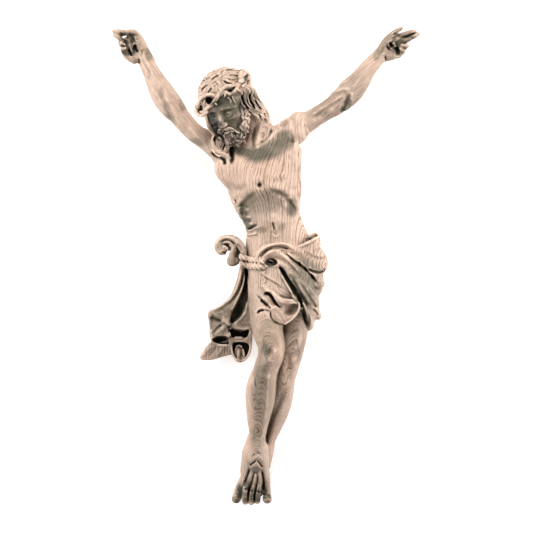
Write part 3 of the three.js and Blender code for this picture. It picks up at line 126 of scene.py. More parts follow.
# painted shadow: near-black spots in the hollows where deep shadow falls
PAINTED_SHADOWS = (
    (212, 118, 4, 7, 1), (217, 127, 7, 7, 1), (221, 135, 7, 6, 1), (232.5, 147, 4.5, 8, 0.9),
    (231.5, 158, 3, 7, 0.9), (224, 160, 2.5, 5, 0.8), (225, 146, 2.5, 5, 0.8), (210, 101, 5.5, 5, 1),
    (230.4, 91.2, 3, 2, 1), (246.2, 78.6, 3, 3.4, 1), (245, 103, 5, 9, 0.6), (253, 102, 5, 9, 0.6),
    (237, 135, 14, 11, 0.6),
    # under the crown
    (217, 103.4, 6, 4, 0.8), (226, 98.4, 7, 3.4, 0.7), (236, 94.4, 6, 3, 0.7), (241, 105, 3, 9, 0.6),
    (270.5, 262.5, 7, 5.5, 1), (284, 274, 4, 9, 0.9), (293, 289, 4, 10, 0.9), (300, 303, 4, 10, 0.9),
    (304.6, 311, 3, 8, 0.95), (308.6, 321, 2.6, 8, 0.9), (301, 242.6, 5, 1.8, 0.8), (308, 238.8, 5, 2, 0.8),
    (244, 280, 3, 14, 0.8), (239, 312, 4, 10, 0.7), (240, 334, 10, 5, 1), (240, 345.4, 9, 3.6, 1),
    (220, 340, 9, 4, 0.8), (230, 331, 2, 6, 0.8), (214.8, 139, 2.2, 3.4, 0.9),
    (219.4, 135.6, 3.4, 1.8, 0.9), (223.2, 141, 2, 4.4, 0.9), (221.4, 147, 2, 3, 0.9),
    # under the ribs
    (243.6, 206.6, 5, 3.4, 0.35), (244.2, 214, 4, 3.4, 0.4), (246.6, 221.6, 4.4, 3, 0.45),
    (249.6, 227.8, 4.6, 2.8, 0.45), (293, 211, 3, 8, 0.3), (346.6, 103, 2.6, 7, 0.5),
    (342.6, 110.4, 2, 3.4, 0.7),
    # between the fingers
    (124, 36.4, 6, 2.4, 0.7), (131, 50, 4.5, 6, 0.8), (126, 44, 3, 5, 0.7), (132.2, 39.4, 2.6, 4.6, 0.9),
    (134, 34.4, 4, 1.4, 0.8), (124.8, 42.4, 2.4, 4.4, 0.9), (134.6, 48.6, 3, 5, 0.8),
    (131, 54, 4, 2.4, 0.7), (396, 47, 4.5, 7, 0.9), (389, 46, 3.5, 4, 0.9), (407, 36.4, 7, 1.6, 0.7),
    (401, 41, 4, 3, 0.6),
    # between and under the toes
    (248, 487, 4.5, 10, 0.6), (256, 495, 9, 8, 0.5), (240.5, 492, 3, 7, 0.85), (264, 489, 2.5, 8, 0.8),
    (256, 470, 7, 4, 0.5),
)

FAR = 50  # no distance in a block is larger
TINY = 1e-6
SKY = 200  # a height above everything


def unit(v):
    v = np.asarray(v, float)
    return v / np.linalg.norm(v)


def eased(t):
    """A smooth step from 0 to 1."""
    return t * t * (3 - 2 * t)


def blend_min(a, b, k):
    """Smooth minimum: joins two distance fields with a fillet of about k."""
    h = np.maximum(k - np.abs(a - b), 0) / k
    return np.minimum(a, b) - h * h * (k * 0.25)


def curved(a, b, c, d, t):
    """Catmull-Rom curve from b to c."""
    return 0.5 * (2 * b + (c - a) * t + (2 * a - 5 * b + 4 * c - d) * t**2 + (3 * b - a - 3 * c + d) * t**3)


def smooth_path(points, per_span):
    """Open curve through the rows of points."""
    p = np.asarray(points, float)
    if len(p) < 3:
        t = np.linspace(0, 1, per_span + 1)[:, None]
        return p[0] * (1 - t) + p[-1] * t
    ends = np.vstack([2 * p[0] - p[1], p, 2 * p[-1] - p[-2]])
    t = np.arange(per_span)[:, None] / per_span
    return np.vstack([*(curved(*ends[i : i + 4], t) for i in range(len(p) - 1)), p[-1:]])


def closed_path(points, per_span=4):
    """Closed curve through the rows of points."""
    t = np.arange(per_span)[:, None] / per_span
    return np.vstack([curved(*np.roll(points, 1 - i, 0)[:4], t) for i in range(len(points))])


class Frame:
    """A place and three directions: side, along and front."""

    def __init__(self, origin, side, along, front=None):
        along = unit(along)
        side = unit(np.asarray(side, float) - np.dot(side, along) * along)
        front = np.cross(side, along) if front is None else np.asarray(front, float)
        front = unit(front - np.dot(front, along) * along - np.dot(front, side) * side)
        self.origin = np.asarray(origin, float)
        self.axes = np.array([side, along, front])

    def out(self, points):
        return self.origin + np.asarray(points, float) @ self.axes

    def into(self, x, y, z):
        dx, dy, dz = x - self.origin[0], y - self.origin[1], z - self.origin[2]
        return [dx * r[0] + dy * r[1] + dz * r[2] for r in self.axes]


WORLD = None


class Block:
    """Space sampled on a grid of signed distances, negative inside the wood."""

    def __init__(self, low, high, step):
        self.low, self.step = np.array(low, float), step
        self.count = np.ceil((np.array(high) - self.low) / step).astype(int) + 1
        self.axis = [(self.low[i] + step * np.arange(self.count[i])).astype(np.float32) for i in range(3)]
        self.field = np.full(self.count, FAR, np.float32)

    def window(self, low, high, frame=WORLD, margin=0):
        """The part of the grid that a box covers, and the places of its points in the box's own frame."""
        ends = np.array([low, high], float)
        if frame is not WORLD:
            corners = frame.out([(ends[i][0], ends[j][1], ends[k][2]) for i, j, k in np.ndindex(2, 2, 2)])
            ends = np.array([corners.min(0), corners.max(0)])
        a = np.clip(np.floor((ends[0] - margin - self.low) / self.step).astype(int), 0, self.count)
        b = np.clip(np.ceil((ends[1] + margin - self.low) / self.step).astype(int) + 1, 0, self.count)
        part = tuple(slice(i, j) for i, j in zip(a, b))
        axes = (axis[s] for axis, s in zip(self.axis, part))
        x, y, z = np.meshgrid(*axes, indexing="ij", sparse=True)
        if frame is not WORLD:
            x, y, z = frame.into(x, y, z)
        return part, x, y, z

    def mix(self, part, distance, blend, cut):
        """Joins a shape to the wood, or cuts it out."""
        if cut:
            self.field[part] = -blend_min(-self.field[part], distance, blend)
        else:
            self.field[part] = blend_min(self.field[part], distance, blend)

    def ball(self, center, radii, blend=3, frame=WORLD, cut=False, turn=None):
        """An ellipsoid; turn gives the directions of its first two axes."""
        center = np.asarray(center, float)
        radii = np.asarray(radii, float) * np.ones(3)
        if turn is not None:
            frame, center = Frame(center, *turn), np.zeros(3)
        part, x, y, z = self.window(center - radii, center + radii, frame, blend + 2 * self.step)
        x, y, z = x - center[0], y - center[1], z - center[2]
        k0 = np.sqrt((x / radii[0]) ** 2 + (y / radii[1]) ** 2 + (z / radii[2]) ** 2)
        k1 = np.sqrt((x / radii[0] ** 2) ** 2 + (y / radii[1] ** 2) ** 2 + (z / radii[2] ** 2) ** 2) + TINY
        self.mix(part, k0 * (k0 - 1) / k1, blend, cut)

    def tube(self, points, radii, blend=2, frame=WORLD, cut=False, per_span=6, smooth=True):
        """A round tube through points, with a radius at each."""
        radii = np.asarray(radii, float) * np.ones(len(points))
        path = np.column_stack([np.asarray(points, float), radii])
        if smooth:
            path = smooth_path(path, per_span)
        if frame is not WORLD:
            path[:, :3] = frame.out(path[:, :3])
        margin = blend + 2 * self.step
        reach = path[:, 3].max()
        part, *_ = self.window(path[:, :3].min(0) - reach, path[:, :3].max(0) + reach, margin=margin)
        near = np.full([s.stop - s.start for s in part], FAR, np.float32)
        for a, b in zip(path[:-1], path[1:]):
            r = max(a[3], b[3])
            sub, x, y, z = self.window(np.minimum(a, b)[:3] - r, np.maximum(a, b)[:3] + r, margin=margin)
            ab = (b - a)[:3]
            size = float(ab @ ab) + 1e-9
            x, y, z = x - np.float32(a[0]), y - np.float32(a[1]), z - np.float32(a[2])
            h = np.clip((x * ab[0] + y * ab[1] + z * ab[2]) / size, 0, 1).astype(np.float32)
            d = np.sqrt((x - h * ab[0]) ** 2 + (y - h * ab[1]) ** 2 + (z - h * ab[2]) ** 2)
            here = tuple(slice(s.start - p.start, s.stop - p.start) for s, p in zip(sub, part))
            near[here] = np.minimum(near[here], d - (a[3] + (b[3] - a[3]) * h))
        self.mix(part, near, blend, cut)

    def loft(self, stations, blend, cap, frame=WORLD, power=2):
        """Round sections along y: rows of y, centre x, centre z, half width, half depth, with y rising."""
        rows = smooth_path(stations, 8)
        ts = rows[:, 0]
        low = ((rows[:, 1] - rows[:, 3]).min(), ts[0] - cap, (rows[:, 2] - rows[:, 4]).min())
        high = ((rows[:, 1] + rows[:, 3]).max(), ts[-1] + cap, (rows[:, 2] + rows[:, 4]).max())
        part, x, y, z = self.window(low, high, frame, blend + 2 * self.step)
        t = np.clip(y, ts[0], ts[-1])
        cx, cz, wx, wz = (np.interp(t, ts, rows[:, i]) for i in range(1, 5))
        dx, dz, dy = (x - cx) / wx, (z - cz) / wz, (y - t) / cap
        k0 = (np.abs(dx) ** power + np.abs(dz) ** power + np.abs(dy) ** power) ** (1 / power)
        k1 = np.sqrt((dx / wx) ** 2 + (dz / wz) ** 2 + (dy / cap) ** 2) + TINY
        self.mix(part, k0 * (k0 - 1) / k1, blend, False)

    def relief(self, points, width, height, low):
        """Raises, or with a negative height sinks, the surface along a line drawn on it from the front."""
        p = smooth_path(points, 5)
        n = len(p)
        reach = 2.4 * width
        part, x, y, z = self.window((*(p.min(0) - reach), low), (*(p.max(0) + reach), SKY))
        best = np.inf
        along = 0
        for i in range(n - 1):
            ax, ay = p[i]
            bx, by = p[i + 1] - p[i]
            h = np.clip(((x - ax) * bx + (y - ay) * by) / (bx * bx + by * by + 1e-9), 0, 1)
            d2 = (x - ax - h * bx) ** 2 + (y - ay - h * by) ** 2
            along = np.where(d2 < best, (i + h) / (n - 1), along)
            best = np.minimum(best, d2)
        ends = np.clip(5 * np.minimum(along, 1 - along), 0, 1)
        edge = np.clip((z - low) / 3 + 0.5, 0, 1)
        bump = height * np.exp(-best / width**2) * eased(ends)
        self.field[part] -= (bump * edge).astype(np.float32)

    def swell(self, center, radii, height, frame=WORLD):
        """A soft bump, or with a negative height a dent, around a point."""
        center, radii = np.array([center, radii], float)
        part, x, y, z = self.window(center - 2.3 * radii, center + 2.3 * radii, frame)
        d2 = sum(((v - c) / r) ** 2 for v, c, r in zip((x, y, z), center, radii))
        self.field[part] -= (height * np.exp(-d2)).astype(np.float32)

    def front(self, x, y):
        """Height of the first surface met from the front at a place."""
        i = (x - self.low[0]) / self.step
        j = (y - self.low[1]) / self.step
        i0, j0 = int(i), int(j)
        fi, fj = i - i0, j - j0
        c = self.field[i0 : i0 + 2, j0 : j0 + 2]
        column = (c[0, 0] * (1 - fi) + c[1, 0] * fi) * (1 - fj) + (c[0, 1] * (1 - fi) + c[1, 1] * fi) * fj
        inside = np.nonzero(column < 0)[0]
        if len(inside) == 0:
            return 0.0
        k = inside[-1]
        return float(self.low[2] + self.step * (k + column[k] / (column[k] - column[k + 1] - TINY)))


def outline_distance(x, y, outline):
    """Signed distance to a closed outline in the plane, negative inside."""
    best = np.full(np.broadcast(x, y).shape, 1e9)
    inside = np.zeros(best.shape, bool)
    for a, b in zip(outline, np.roll(outline, -1, 0)):
        e = b - a
        h = np.clip(((x - a[0]) * e[0] + (y - a[1]) * e[1]) / (e @ e + 1e-9), 0, 1)
        best = np.minimum(best, (x - a[0] - h * e[0]) ** 2 + (y - a[1] - h * e[1]) ** 2)
        crosses = ((a[1] > y) != (b[1] > y)) & (x < a[0] + e[0] * (y - a[1]) / (e[1] if e[1] else 1e-9))
        inside ^= crosses
    return np.where(inside, -1, 1) * np.sqrt(best)


def at(*points):
    """Places of the sheet, x right and y down, with or without a height, turned into the part's frame."""
    return np.array([(x - SHEET_X, SHEET_Y - y, *z) for x, y, *z in points], float)


def one(*place):
    return at(place)[0]


def pane(b, front, back, blend, edge, *outline, cut=False):
    """A slab with an outline on the sheet, between two heights, or heights that slope in x and y."""
    path = closed_path(at(*outline))
    mid = path.mean(0)
    planes = [tuple(plane) if np.ndim(plane) else (plane, 0, 0) for plane in (front, back)]
    low, high = path.min(0), path.max(0)
    reach = [[h + sx * u + sy * v for u in (low[0] - mid[0], high[0] - mid[0])
              for v in (low[1] - mid[1], high[1] - mid[1])] for h, sx, sy in planes]
    part, x, y, z = b.window((*low, min(reach[1])), (*high, max(reach[0])), margin=blend + 2 * b.step)
    side = outline_distance(x[:, :, 0], y[:, :, 0], path)[:, :, None]
    top, bottom = (h + sx * (x - mid[0]) + sy * (y - mid[1]) for h, sx, sy in planes)
    d = -blend_min(-side, -np.maximum(z - top, bottom - z), edge)
    b.mix(part, d.astype(np.float32), blend, cut)


def dug(b, place, radii, side, blend=0.8):
    """An oval hollow, with the direction of its first axis."""
    b.ball(one(*place), radii, blend, cut=True, turn=((*side, 0), (-side[1], side[0], 0)))


def roll(b, blend, *places, **how):
    """A tube through places on the sheet, each with its height and its radius."""
    rows = at(*places)
    b.tube(rows[:, :3], rows[:, 3], blend, **how)


def creased(b, low, *lines):
    """Folds and grooves above some height: width and height of each, and its places on the sheet."""
    for width, height, *line in lines:
        b.relief(at(*line), width, height, low)


def turned(roll, pitch, yaw):
    roll, pitch, yaw = np.radians([roll, pitch, yaw])
    c, s = np.cos, np.sin
    ry = np.array([[c(yaw), 0, s(yaw)], [0, 1, 0], [-s(yaw), 0, c(yaw)]])
    rx = np.array([[1, 0, 0], [0, c(pitch), -s(pitch)], [0, s(pitch), c(pitch)]])
    rz = np.array([[c(roll), -s(roll), 0], [s(roll), c(roll), 0], [0, 0, 1]])
    m = rz @ rx @ ry
    return m[:, 0], m[:, 1], m[:, 2]


# the cords, the cloth and the twigs
CORD, CLOTH, TWIG = 6, 1.8, 4
SINK = 2  # depth planed off behind the hips
# the head's own frame, and the ring of the crown and the skull in it
HEAD = Frame(one(227, 100.5, 63), *turned(22, 24, -30))
CROWN_X, CROWN_Z, CROWN_WIDE, CROWN_DEEP = -1.5, -3, 27.5, 28.5
SKULL = ((-1.5, 9, -4), (26, 22.5, 28))
PARTING = (0, 0.9, 0.43)


def torso(b):
    b.loft([
        [-46, -3, 32, 27, 22], [-20, 2.5, 31, 34.5, 28], [-3, 2, 31, 35.2, 29], [10, -1, 33, 33.5, 27],
        [20, -2.4, 36, 31, 23.5], [30, -5.7, 38, 29.6, 21], [40, -10.2, 39, 30.8, 21],
        [50, -13.5, 40, 33.6, 23.5],
        [60, -14.9, 40, 36.2, 27], [70, -16.6, 39.5, 38.1, 29], [85, -20.7, 38, 41.3, 28.5],
        [96, -23.5, 36.5, 41, 26],
        [106, -24, 34.5, 36, 22], [114, -21, 33, 27, 17],
    ], blend=2, cap=12, power=2.2)
    b.ball((-40, 90, 49), (25, 16, 10.5), 11, turn=((0.93, 0.36, 0), (-0.36, 0.93, 0)))
    b.ball((-1, 95, 49), (25, 16, 10.5), 11, turn=((0.86, 0.5, -0.1), (-0.5, 0.86, 0)))
    b.tube([(-30, 110, 38), (-45, 110, 36), (-58, 107, 32)], [15, 13.5, 12.5], 8)
    b.tube([(-16, 108, 38), (2, 118, 35), (16, 127, 31)], [14, 13, 12], 7)
    b.tube([(-23, 122, 30), (-8, 119, 28), (8, 124, 28)], [13, 9, 9], 6)


def neck(b):
    b.tube([(-20, 106, 34), (-22, 125, 39), (-30, 145, 48)], [16, 14.5, 15], 5)


def arms(b):
    b.tube([(-50, 106, 33), (-60, 107, 32), (-74, 115.2, 30), (-86.5, 123.5, 28), (-98.5, 136.7, 26),
            (-108.5, 149.5, 24), (-117.5, 162, 21), (-125.5, 177, 17), (-135, 196, 12)],
           [15, 12.5, 10.3, 9.5, 10, 11.9, 12, 9.6, 7.2], 6)
    b.tube([(14, 124, 33), (20, 131, 32), (28, 133.5, 30), (42, 142, 28), (60, 153.5, 26),
            (69.8, 163.5, 24), (79.7, 174.7, 21), (86.7, 185, 17), (100, 200.6, 12)],
           [14, 12, 10.8, 9.6, 11.2, 12.8, 10.6, 8.8, 7.3], 6)


def legs(b):
    right = [
        [-202, -24.5, 35, 11, 11.5], [-197, -24.5, 36, 11.3, 11.5], [-188, -23.2, 36.5, 9.2, 10],
        [-177, -22, 37.5, 9.4, 10.5], [-165, -21.2, 40, 11.9, 12.5], [-152, -20.2, 43, 13.8, 14.5],
        [-137, -19.2, 47, 15.2, 16], [-126, -17.5, 51, 14.3, 16], [-114, -14, 56, 13, 15.5],
        [-102, -9.9, 60, 13.6, 16.5], [-91, -9, 59, 14.6, 17],
        [-75, -12.3, 54, 15.8, 18.5], [-55, -13.7, 46, 17.3, 20], [-35, -13, 39, 19, 22],
        [-7, -12, 34, 20, 23],
    ]
    left = [
        [-203, -16.5, 17, 8, 9.5], [-190, -14, 19, 8.4, 9], [-177, -9, 22, 9.2, 10],
        [-165, -4.5, 26, 10.8, 11.5], [-152, -1, 30, 12, 13], [-140, 1, 34, 12.3, 14.5],
        [-126, 2.5, 40, 12.6, 15], [-114, 6, 45, 12.6, 15], [-102, 9, 48, 13.2, 15.5],
        [-87, 11.5, 46, 14.4, 16.5], [-70, 14, 42, 15, 17.5],
        [-55, 16, 38, 16, 19], [-35, 17.5, 34, 17.5, 21], [-7, 17, 32, 19, 22],
    ]
    b.loft(right, 4, cap=9)
    b.loft(left, 1.5, cap=8)


def hand(b, wrist, knuckles, fingers, thumb, mounds, flat):
    for i in range(4):
        b.tube(at(wrist, knuckles[i]), [5.2, 4 - 0.13 * i], 3, smooth=False)
    for center, radii, side, along in mounds:
        b.ball(one(*center), radii, 3.5, turn=(side, along))
    for i in range(4):
        r = 3.4 - 0.12 * i
        b.tube(at(knuckles[i], *fingers[i]), [r, r - 0.6, r - 0.8, r - 1.4], 1, per_span=4)
    b.tube(at(*thumb), [4.2, 3.4, 2.9, 2.1], 1.2)
    pane(b, 4.5, -1.5, 3, 1.5, *flat)


def ring_height(across, deep):
    """Height of the crown's ring in the head's frame, by shares of its radii to the side and to the front."""
    return 10.5 + 8 * across + 1.5 * deep


def ring_point(angle, radial, up):
    """A place about the crown's ring, off it by two distances."""
    c, s = np.cos(np.radians(angle)), np.sin(np.radians(angle))
    return [(CROWN_WIDE + radial) * c + CROWN_X, ring_height(c, s) + up,
            CROWN_Z + (CROWN_DEEP + radial) * s]


def beside(path, upright):
    """Directions to the side of a path and up from it, at each of its places."""
    along = np.gradient(path, axis=0)
    along /= np.linalg.norm(along, axis=1)[:, None] + 1e-9
    side = np.cross(along, upright)
    side /= np.linalg.norm(side, axis=1)[:, None] + TINY
    return side, np.cross(side, along)


def strand(path, side, up, angle, wide, deep):
    """A path that winds about another one."""
    return path + (wide * np.cos(angle))[:, None] * side + (deep * np.sin(angle))[:, None] * up


def lock(b, points, radius, strands, twist, start, tip, frame=WORLD, phase=0):
    """A lock of hair: thin strands laid side by side along a path and slowly twisted."""
    path = smooth_path(points, 6)
    t = np.linspace(0, 1, len(path))
    width = radius * np.interp(t, [0, 0.35, 0.75, 1], [start, 1, 0.85, tip])
    side, up = beside(path, (0, 0, 1))
    for k in range(strands):
        a = 2 * np.pi * (k / strands + twist * t) + phase
        wound = strand(path, side, up, a, 0.55 * width, 0.35 * width)
        b.tube(wound, width * (0.62 if strands > 2 else 0.75), 0.3, frame=frame, smooth=False)


def combed(b, centre, radii, pole, count, depth, keep):
    """Strands that run down from the crown of the head in waves, as if the hair were combed."""
    centre, radii = np.array(centre, float), np.array(radii, float)
    part, x, y, z = b.window(centre - 1.3 * radii, centre + 1.3 * radii, HEAD, 0)
    u, v, w = (x - centre[0]) / radii[0], (y - centre[1]) / radii[1], (z - centre[2]) / radii[2]
    pole = unit(pole)
    east = unit(np.cross(pole, (0, 0, 1)))
    north = np.cross(east, pole)
    size = np.sqrt(u * u + v * v + w * w) + 1e-6
    tilt = np.arccos(np.clip((u * pole[0] + v * pole[1] + w * pole[2]) / size, -1, 1))
    turn = np.arctan2(u * north[0] + v * north[1] + w * north[2], u * east[0] + v * east[1] + w * east[2])
    turn = turn + 0.20 * np.sin(5.2 * tilt + 1.5 * np.sin(2 * turn)) + 0.35 * tilt
    mass = np.sin(0.5 * count / 3 * turn + 0.8 * np.sin(3 * tilt))
    thin = 1 - np.abs(np.sin(0.5 * count * turn + 0.6 * np.sin(9 * tilt + 5 * turn)))
    fine = 1 - np.abs(np.sin(1.5 * count * turn + 1.1 * np.sin(7 * tilt + 3 * turn)))
    patchy = 0.65 + 0.35 * np.sin(4 * turn + 3 * tilt) * np.sin(6 * tilt - 3 * turn)
    fade = np.clip((tilt - 0.10) / 0.35, 0, 1)
    grooves = 0.5 * (1 - mass * mass) + patchy * thin ** 2.2 + 0.3 * fine ** 2 - 0.45
    b.field[part] += (depth * grooves * fade * keep(x, y, z)).astype(np.float32)


def above_crown(x, y, z):
    """One over the hair, none on the forehead, cheeks and neck."""
    ring = ring_height((x - CROWN_X) / CROWN_WIDE, (z - CROWN_Z) / CROWN_DEEP)
    over = np.clip((y - ring) / 2 + 0.5, 0, 1)
    behind = np.clip((4 - z) / 4, 0, 1)
    return np.maximum(over, behind)


def fine_head(b):
    b.ball(*SKULL, 3, frame=HEAD)
    combed(b, *SKULL, PARTING, 36, 1.5, above_crown)
    # dark hollow between the cheek and the long locks
    pane(b, 200, 47, 2, 1, (209.6, 112.6), (216, 112.6), (222, 119), (228, 127), (231, 137), (229, 140),
         (223.4, 138.4), (217.8, 134), (213, 129), (210.4, 121), cut=True)
    b.ball((0, -8, 7), (16.5, 22, 17.5), 2.5, frame=HEAD)
    b.ball((0, -27, 11), (11.5, 12, 11), 4, frame=HEAD)


def fine_face(b):
    tube, ball, swell = (partial(shape, frame=HEAD) for shape in (b.tube, b.ball, b.swell))
    for s in (-1, 1):
        tube([[s * 1.8, 2.4, 23.2], [s * 5, 3.6, 23.4], [s * 9.5, 3.2, 21], [s * 14, 0.5, 15.6]],
             [1.3, 1.9, 1.9, 1.5], 3.5)
        ball([s * 7.4, -2.8, 26.4], [5.2, 3.7, 5], 3, cut=True)
        ball([s * 7.2, -3.8, 18], [4.5, 3.9, 4.3], 1.2)
        # lowered lids
        tube([[s * 3, -4.6, 20.4], [s * 5, -5.9, 22.2], [s * 7.3, -6.4, 22.5], [s * 9.7, -5.6, 21.2],
              [s * 11.4, -4, 18.8]], [0.4, 0.7, 0.75, 0.7, 0.4], 0.7)
        tube([[s * 3.6, -1.8, 21], [s * 7, -0.5, 22.4], [s * 10.8, -1.8, 19.6]], [0.35, 0.65, 0.45], 0.7,
             cut=True)
        tube([[s * 4, -8.2, 21.4], [s * 7.4, -9.4, 21.8], [s * 10.8, -7.8, 19.4]], [0.4, 0.8, 0.4], 1.6)
        tube([[s * 3.6, -6.7, 21.6], [s * 7.4, -7.7, 22.7], [s * 11, -6.1, 19.9]], [0.3, 0.45, 0.3], 0.4,
             cut=True)
        # wings of the nose, cheekbones and the folds beside the mouth
        ball([s * 3, -13.2, 25.8], [2.1, 2.1, 3], 1.2)
        ball([s * 1.7, -15.8, 27.6], [0.85, 0.8, 1.4], 0.4, cut=True)
        ball([s * 11, -9.5, 16], [5, 4, 5], 5)
        swell([s * 11, -18, 16], [4.5, 6, 6], -1.8)
        tube([[s * 4.8, -12.5, 24.6], [s * 7, -15.6, 23.8], [s * 9, -19, 21.4]], [0.3, 0.8, 0.5], 2,
             cut=True)
    tube([[0, 4.5, 22.6], [0, -2, 24], [0, -8, 26.8], [0, -12.4, 28.8]], [2.1, 1.9, 2.3, 2.9], 3)
    swell([0, 4.5, 25], [1.6, 3.5, 3], -0.7)
    tube([[-4.4, -21, 22.8], [-1.5, -20, 24.8], [0, -20.3, 24.8], [1.5, -20, 24.8], [4.4, -21, 22.8]],
         [0.5, 0.9, 0.8, 0.9, 0.5], 0.6)
    tube([[-3.8, -22.6, 22.4], [0, -23.5, 24.4], [3.8, -22.6, 22.4]], [0.7, 1.4, 0.7], 0.8)
    tube([[-4.8, -21.6, 23.2], [0, -21.8, 25.4], [4.8, -21.6, 23.2]], 0.35, 0.3, cut=True)


def jaw(s, u):
    """Places from below the ear, at 0, round the jaw to the chin, at 1."""
    row = np.array([[17.6, 0, 1.5], [17.2, -9, 4.5], [15.2, -18, 9.5], [11, -25, 14.5], [5, -28.6, 18],
                    [0, -29.4, 19]])
    place = [np.interp(5 * u, range(6), row[:, k]) for k in range(3)]
    return np.array([s * place[0], place[1], place[2]])


def outside(b, base, out, lift):
    """The place where a line from the middle of the head leaves the wood, raised a little."""
    steps = np.linspace(9, -9, 61)
    places = HEAD.out(np.asarray(base) + steps[:, None] * out)
    cell = np.clip(np.rint((places - b.low) / b.step).astype(int), 0, np.array(b.count) - 1)
    wood = b.field[cell[:, 0], cell[:, 1], cell[:, 2]] < 0
    reach = steps[np.argmax(wood)] if wood.any() else 0
    return np.asarray(base) + (reach + lift) * out


def beard(b):
    for s in (-1, 1):
        path = [jaw(s, u) - (s * 2.5, 3.5, 3) for u in np.linspace(0, 1, 7)]
        b.tube(path, [4, 5, 5.6, 6, 6.2, 6.4, 6.6], 2.5, frame=HEAD)
    b.ball((0, -34, 13), (9.5, 7, 8.5), 3, frame=HEAD)
    count = 9
    curls = []
    for s in (-1, 1):
        for r in range(4):
            for i in range(count):
                u = (i + 0.5 * (r % 2)) / (count - 0.5)
                if r == 3 and not 0.3 < u < 0.7:
                    continue
                down = unit(np.array([-s * 0.10 - s * 0.35 * u * (1 - u), -0.95,
                                      0.10 + 0.25 * (1 - u) - 0.12 * r]))
                out = unit(np.array([s * (1 - u) * 1.2 + 0.001, -0.10 - 0.20 * r, 0.35 + u]))
                side = np.cross(down, out)
                root = jaw(s, u) + down * (4.3 * r - 2.5)
                bend = (1 if (i + r) % 2 else -1) * 1.5
                reach = 8 + 1.5 * np.sin(2.3 * i + r)
                path = []
                for q in np.linspace(0, 1, 5):
                    lift = 0.25 + 1 * np.sin(np.pi * q) - 0.5 * q
                    base = root + down * reach * q + side * bend * np.sin(2.4 * np.pi * q) * (0.4 + q)
                    path.append(outside(b, base, out, lift))
                curls.append((path, 1.9 * i + r))
    for path, phase in curls:
        lock(b, path, 1.75, 3, 0.9, 0.55, 0.55, HEAD, phase=phase)
    for s in (-1, 1):
        # strands over the cheek, from the temple to the jaw
        for i in range(5):
            u = i / 4
            start = np.array([s * (17.4 - 0.8 * u), 3 - 9 * u, 6 + 5.5 * u])
            path = [start, start + (s * 0.6, -4, 0.6), start + (-s * 0.5, -8, 1.4),
                    start + (s * 0.3, -11.5, 1.2)]
            lock(b, path, 1.7, 3, 0.5, 0.5, 0.5, HEAD, phase=i)
        # moustache
        for i, (reach, drop) in enumerate(((10.5, -28), (8.8, -26), (7.2, -24.2))):
            path = [[s * 0.8, -16.9 - 0.5 * i, 27.2], [s * 3.6, -17.8 - 0.9 * i, 26.6],
                    [s * 6.8, -19.8 - 1.3 * i, 24.6], [s * reach, drop, 20.6]]
            lock(b, path, 1.6, 3, 0.5, 0.6, 0.4, HEAD, phase=i)
    for i in range(5):
        x = 1.9 * (i - 2)
        lock(b, [[x, -25, 23.2], [1.15 * x, -28.5, 24], [1.2 * x + 0.7, -32, 22.5]], 1.2, 3, 0.6, 0.6, 0.4,
             HEAD, phase=i)


